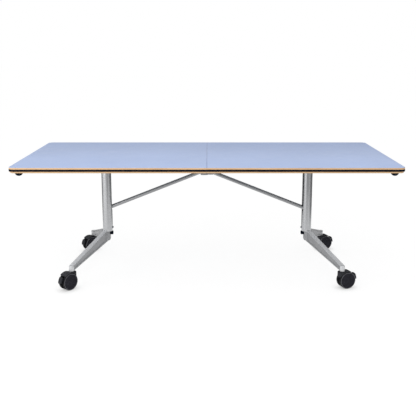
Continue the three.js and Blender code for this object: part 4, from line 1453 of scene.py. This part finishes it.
class TABLE_OT_brake_pedals(bpy.types.Operator):
    """Make the brake pedals: a ribbed flap behind the wheels on an arm between them"""

    bl_idname = "table.brake_pedals"
    bl_label = "Brake Pedals"

    def execute(self, context):
        sizes = context.scene.table_castor
        for castor in castors():
            inside = castor.radius + sizes.hood_gap
            outside = inside + sizes.pedal_wall
            arm = axle_sector(
                castor, sizes.axle_boss / 2 + SEAT_GAP, inside + sizes.pedal_wall / 2,
                sizes.pedal_start + sizes.pedal_margin, sizes.pedal_end - sizes.pedal_margin,
                web_half(sizes), sizes.pedal_arm_round,
            )
            pedal = joined(
                self.flap(sizes, castor, inside, outside), arm, *self.ribs(sizes, castor, outside)
            )
            add_castor_piece(castor, "pedal_flap", pedal, ["hood_plastic"], "pedal", "brake_pedal")
        return {"FINISHED"}

    @staticmethod
    def flap(sizes, castor, inside, outside):
        """A rounded band carried round the axle behind the treads."""
        half, edge = sizes.pedal_width / 2, sizes.pedal_round
        band = box_outline(inside, outside, -half, half, edge, steps=6)
        sweep = run(
            sizes.pedal_start, sizes.pedal_end, edge, pitch=1 / inside, middle=10, steps=6
        )
        return carried(band, *sweep, round_axle(castor))

    @staticmethod
    def ribs(sizes, castor, outside):
        """Four low bars across the flap's back, their roots inside it."""
        half = sizes.pedal_width / 2 - sizes.rib_margin
        rise = sizes.rib_height
        root = outside - 0.001
        wide = 0.02  # radians from a rib's middle to its side
        band = box_outline(root, outside + rise, -half, half, rise)
        middles = np.linspace(sizes.pedal_start, sizes.pedal_end, 6)[1:-1]
        sweeps = [run(at - wide, at + wide, rise, pitch=1 / outside, middle=1) for at in middles]
        return [carried(band, *sweep, round_axle(castor)) for sweep in sweeps]


class TABLE_OT_stems(bpy.types.Operator):
    """Make the castor stems with their collars, and the axles"""

    bl_idname = "table.stems"
    bl_label = "Stems and Axles"

    def execute(self, context):
        sizes = context.scene.table_castor
        half = wheels_half(sizes) - sizes.dish_depth - sizes.axle_cover
        radius = sizes.axle / 2
        ease = 0.0005
        corners = [(0, -half, 0), (radius, -half, ease), (radius, half, ease), (0, half, 0)]
        rod = turned(eased(corners))
        for castor in castors():
            stem = self.stem(sizes, castor)
            add_castor_piece(
                castor, "collared_stem", stem, ["zinc_plating"], "castor", "castor_stem"
            )
            axle = on_axle(castor, rod)
            add_castor_piece(castor, "axle_rod", axle, ["zinc_plating"], "castor", "castor_axle")
        return {"FINISHED"}

    @staticmethod
    def stem(sizes, castor):
        """A pin with a collar under the foot's post, turned about Z."""
        low, high = extent(f"castor_stem_{castor.name}")
        radius, collar = sizes.stem / 2, sizes.collar / 2
        collar_top = pivot(f"swivel_{castor.name}")[2] - SEAT_GAP
        collar_bottom = collar_top - sizes.collar_height
        ease = 0.0004
        corners = [
            (0, low[2]), (radius, low[2]), (radius, collar_bottom), (collar, collar_bottom),
            (collar, collar_top), (radius, collar_top), (radius, high[2]), (0, high[2]),
        ]
        return turned(eased([(across, level, ease) for across, level in corners]))


# Studio


class TABLE_OT_stage(bpy.types.Operator):
    """Set the floor, the light, the reflecting cards and the camera"""

    bl_idname = "table.stage"
    bl_label = "Stage"

    def execute(self, context):
        studio = context.scene.table_studio
        context.scene.view_settings.view_transform = "Standard"
        self.floor(studio)
        self.world(context.scene, studio)
        self.lamp("key", studio)
        self.lamp("overhead", studio)
        self.cards(studio)
        self.camera(context.scene, studio)
        return {"FINISHED"}

    @staticmethod
    def plane(name, corners, material):
        """A flat four-cornered surface that belongs to the studio."""
        mesh = bpy.data.meshes.new(name)
        mesh.from_pydata(corners, [], [(0, 1, 2, 3)])
        mesh.materials.append(material)
        made = bpy.data.objects.new(name, mesh)
        bpy.context.scene.collection.objects.link(made)
        return made

    @staticmethod
    def seen(tree):
        """One for what the camera sees, straight, mirrored or through glass, and zero for light."""
        path = add_node(tree, "ShaderNodeLightPath").outputs
        some = maths(tree, "MAXIMUM", path["Is Camera Ray"], path["Is Glossy Ray"])
        return maths(tree, "MAXIMUM", some, path["Is Transmission Ray"])

    def floor(self, studio):
        """A white floor that shadows darken by no more than its shade, and that lights the table.

        What it sheds by itself is white less what the light from all round adds to it, and less
        still close to what stands on it.
        """
        material = bpy.data.materials.new("studio_floor")
        tree = empty_tree(material)
        white_share = 1 - studio.floor_shade * studio.ambient
        # painted shadow: the floor's glow is dimmed close to what stands on it
        near = add_node(tree, "ShaderNodeAmbientOcclusion", {"Distance": studio.contact_reach})
        dark_share = white_share * (1 - studio.contact_shade)
        strength = spread(tree, near.outputs["AO"], dark_share, white_share, 0.0, 1.0)
        glow = add_node(tree, "ShaderNodeEmission", {"Strength": strength})
        veil = add_node(tree, "ShaderNodeBsdfDiffuse", {"Color": grey(studio.floor_shade)})
        white = add_node(tree, "ShaderNodeAddShader", {0: glow.outputs[0], 1: veil.outputs[0]})
        plain = add_node(tree, "ShaderNodeBsdfDiffuse", {"Color": grey(studio.floor_light)})
        shaders = {0: self.seen(tree), 1: plain.outputs[0], 2: white.outputs[0]}
        mix = add_node(tree, "ShaderNodeMixShader", shaders)
        add_node(tree, "ShaderNodeOutputMaterial", {"Surface": mix.outputs[0]})
        far = studio.floor_reach
        corners = [(-far, -far, 0), (far, -far, 0), (far, far, 0), (-far, far, 0)]
        self.plane("studio_floor", corners, material)

    def world(self, scene, studio):
        """White all round to the eye, and a plain even light."""
        world = bpy.data.worlds.new("studio_world")
        tree = empty_tree(world)
        strength = spread(tree, self.seen(tree), studio.ambient, 1.0, 0.0, 1.0)
        sky = add_node(tree, "ShaderNodeBackground", {"Color": grey(1.0), "Strength": strength})
        add_node(tree, "ShaderNodeOutputWorld", {"Surface": sky.outputs[0]})
        scene.world = world

    @staticmethod
    def lamp(name, studio):
        """A square soft box that faces a point."""
        place = Vector(getattr(studio, f"{name}_place"))
        toward = Vector(getattr(studio, f"{name}_target")) - place
        light = bpy.data.lights.new(f"{name}_light", "AREA")
        light.shape = "SQUARE"
        light.size = studio.lamp_size
        light.energy = getattr(studio, f"{name}_power")
        lamp = bpy.data.objects.new(f"{name}_light", light)
        lamp.location = place
        lamp.rotation_euler = toward.to_track_quat("-Z", "Y").to_euler()
        bpy.context.scene.collection.objects.link(lamp)

    def cards(self, studio):
        """Grey cards round the table, open at the front left, that draw bands on the metal.

        They show only in reflections. Each is named with its grey and its two ends on the floor.
        """
        left, right, front, rear = -1.9, 1.9, -1.6, 1.0
        near = -0.3  # where the brighter card at the right ends
        cards = {
            "front": (0.46, (-0.42, front), (right, front)),
            "near_right": (0.42, (right, -1.3), (right, near)),
            "right": (0.22, (right, near), (right, rear)),
            "rear": (0.1, (right, rear), (0.0, rear)),
            "rear_left": (0.3, (0.0, rear), (left, rear)),
            "left": (0.22, (left, rear), (left, 0.2)),
        }
        high = studio.card_height
        for name, (light, start, stop) in cards.items():
            material = bpy.data.materials.new(f"studio_card_{name}")
            tree = empty_tree(material)
            paint = add_node(tree, "ShaderNodeEmission", {"Color": grey(light)})
            add_node(tree, "ShaderNodeOutputMaterial", {"Surface": paint.outputs[0]})
            corners = [(*start, 0), (*stop, 0), (*stop, high), (*start, high)]
            card = self.plane(f"studio_card_{name}", corners, material)
            card.visible_camera = False
            card.visible_diffuse = False
            card.visible_shadow = False

    @staticmethod
    def camera(scene, studio):
        """A camera that looks along the table's depth and a little down."""
        data = bpy.data.cameras.new("studio_camera")
        data.sensor_width = SENSOR_WIDTH
        data.lens = studio.camera_lens
        data.shift_y = studio.camera_shift
        camera = bpy.data.objects.new("studio_camera", data)
        camera.location = studio.camera_place
        camera.rotation_euler = (pi / 2 - studio.camera_pitch, 0.0, 0.0)
        scene.collection.objects.link(camera)
        scene.camera = camera


# Add-on

OPERATORS = (
    TABLE_OT_laminates,
    TABLE_OT_edge_lippings,
    TABLE_OT_bumper_strips,
    TABLE_OT_panels,
    TABLE_OT_corner_buffers,
    TABLE_OT_fittings,
    TABLE_OT_screws,
    TABLE_OT_columns,
    TABLE_OT_struts,
    TABLE_OT_pins,
    TABLE_OT_feet,
    TABLE_OT_stops,
    TABLE_OT_castor_wheels,
    TABLE_OT_castor_housings,
    TABLE_OT_brake_pedals,
    TABLE_OT_stems,
    TABLE_OT_stage,
)
SETTINGS = {
    "table_top": TopSettings,
    "table_frame": FrameSettings,
    "table_castor": CastorSettings,
    "table_studio": StudioSettings,
}


class VIEW3D_PT_folding_table(bpy.types.Panel):
    """The table's settings and the steps that build it"""

    bl_label = "Folding Conference Table"
    bl_space_type = "VIEW_3D"
    bl_region_type = "UI"
    bl_category = "Table"

    def draw(self, context):
        for attribute in SETTINGS:
            box = self.layout.box()
            settings = getattr(context.scene, attribute)
            for name in settings.bl_rna.properties.keys():
                if name not in ("rna_type", "name"):
                    box.prop(settings, name)
        for operator in OPERATORS:
            self.layout.operator(operator.bl_idname)


CLASSES = (*SETTINGS.values(), *OPERATORS, VIEW3D_PT_folding_table)


def register():
    """Makes the classes known, and gives each scene its settings."""
    for kind in CLASSES:
        bpy.utils.register_class(kind)
    for attribute, settings in SETTINGS.items():
        setattr(bpy.types.Scene, attribute, PointerProperty(type=settings))


def unregister():
    """Takes the settings from the scenes, and the classes back."""
    for attribute in SETTINGS:
        delattr(bpy.types.Scene, attribute)
    for kind in reversed(CLASSES):
        bpy.utils.unregister_class(kind)


def main():
    """Builds the table step by step."""
    register()
    for operator in OPERATORS:
        group, step = operator.bl_idname.split(".")
        getattr(getattr(bpy.ops, group), step)()


if __name__ == "__main__":
    main()
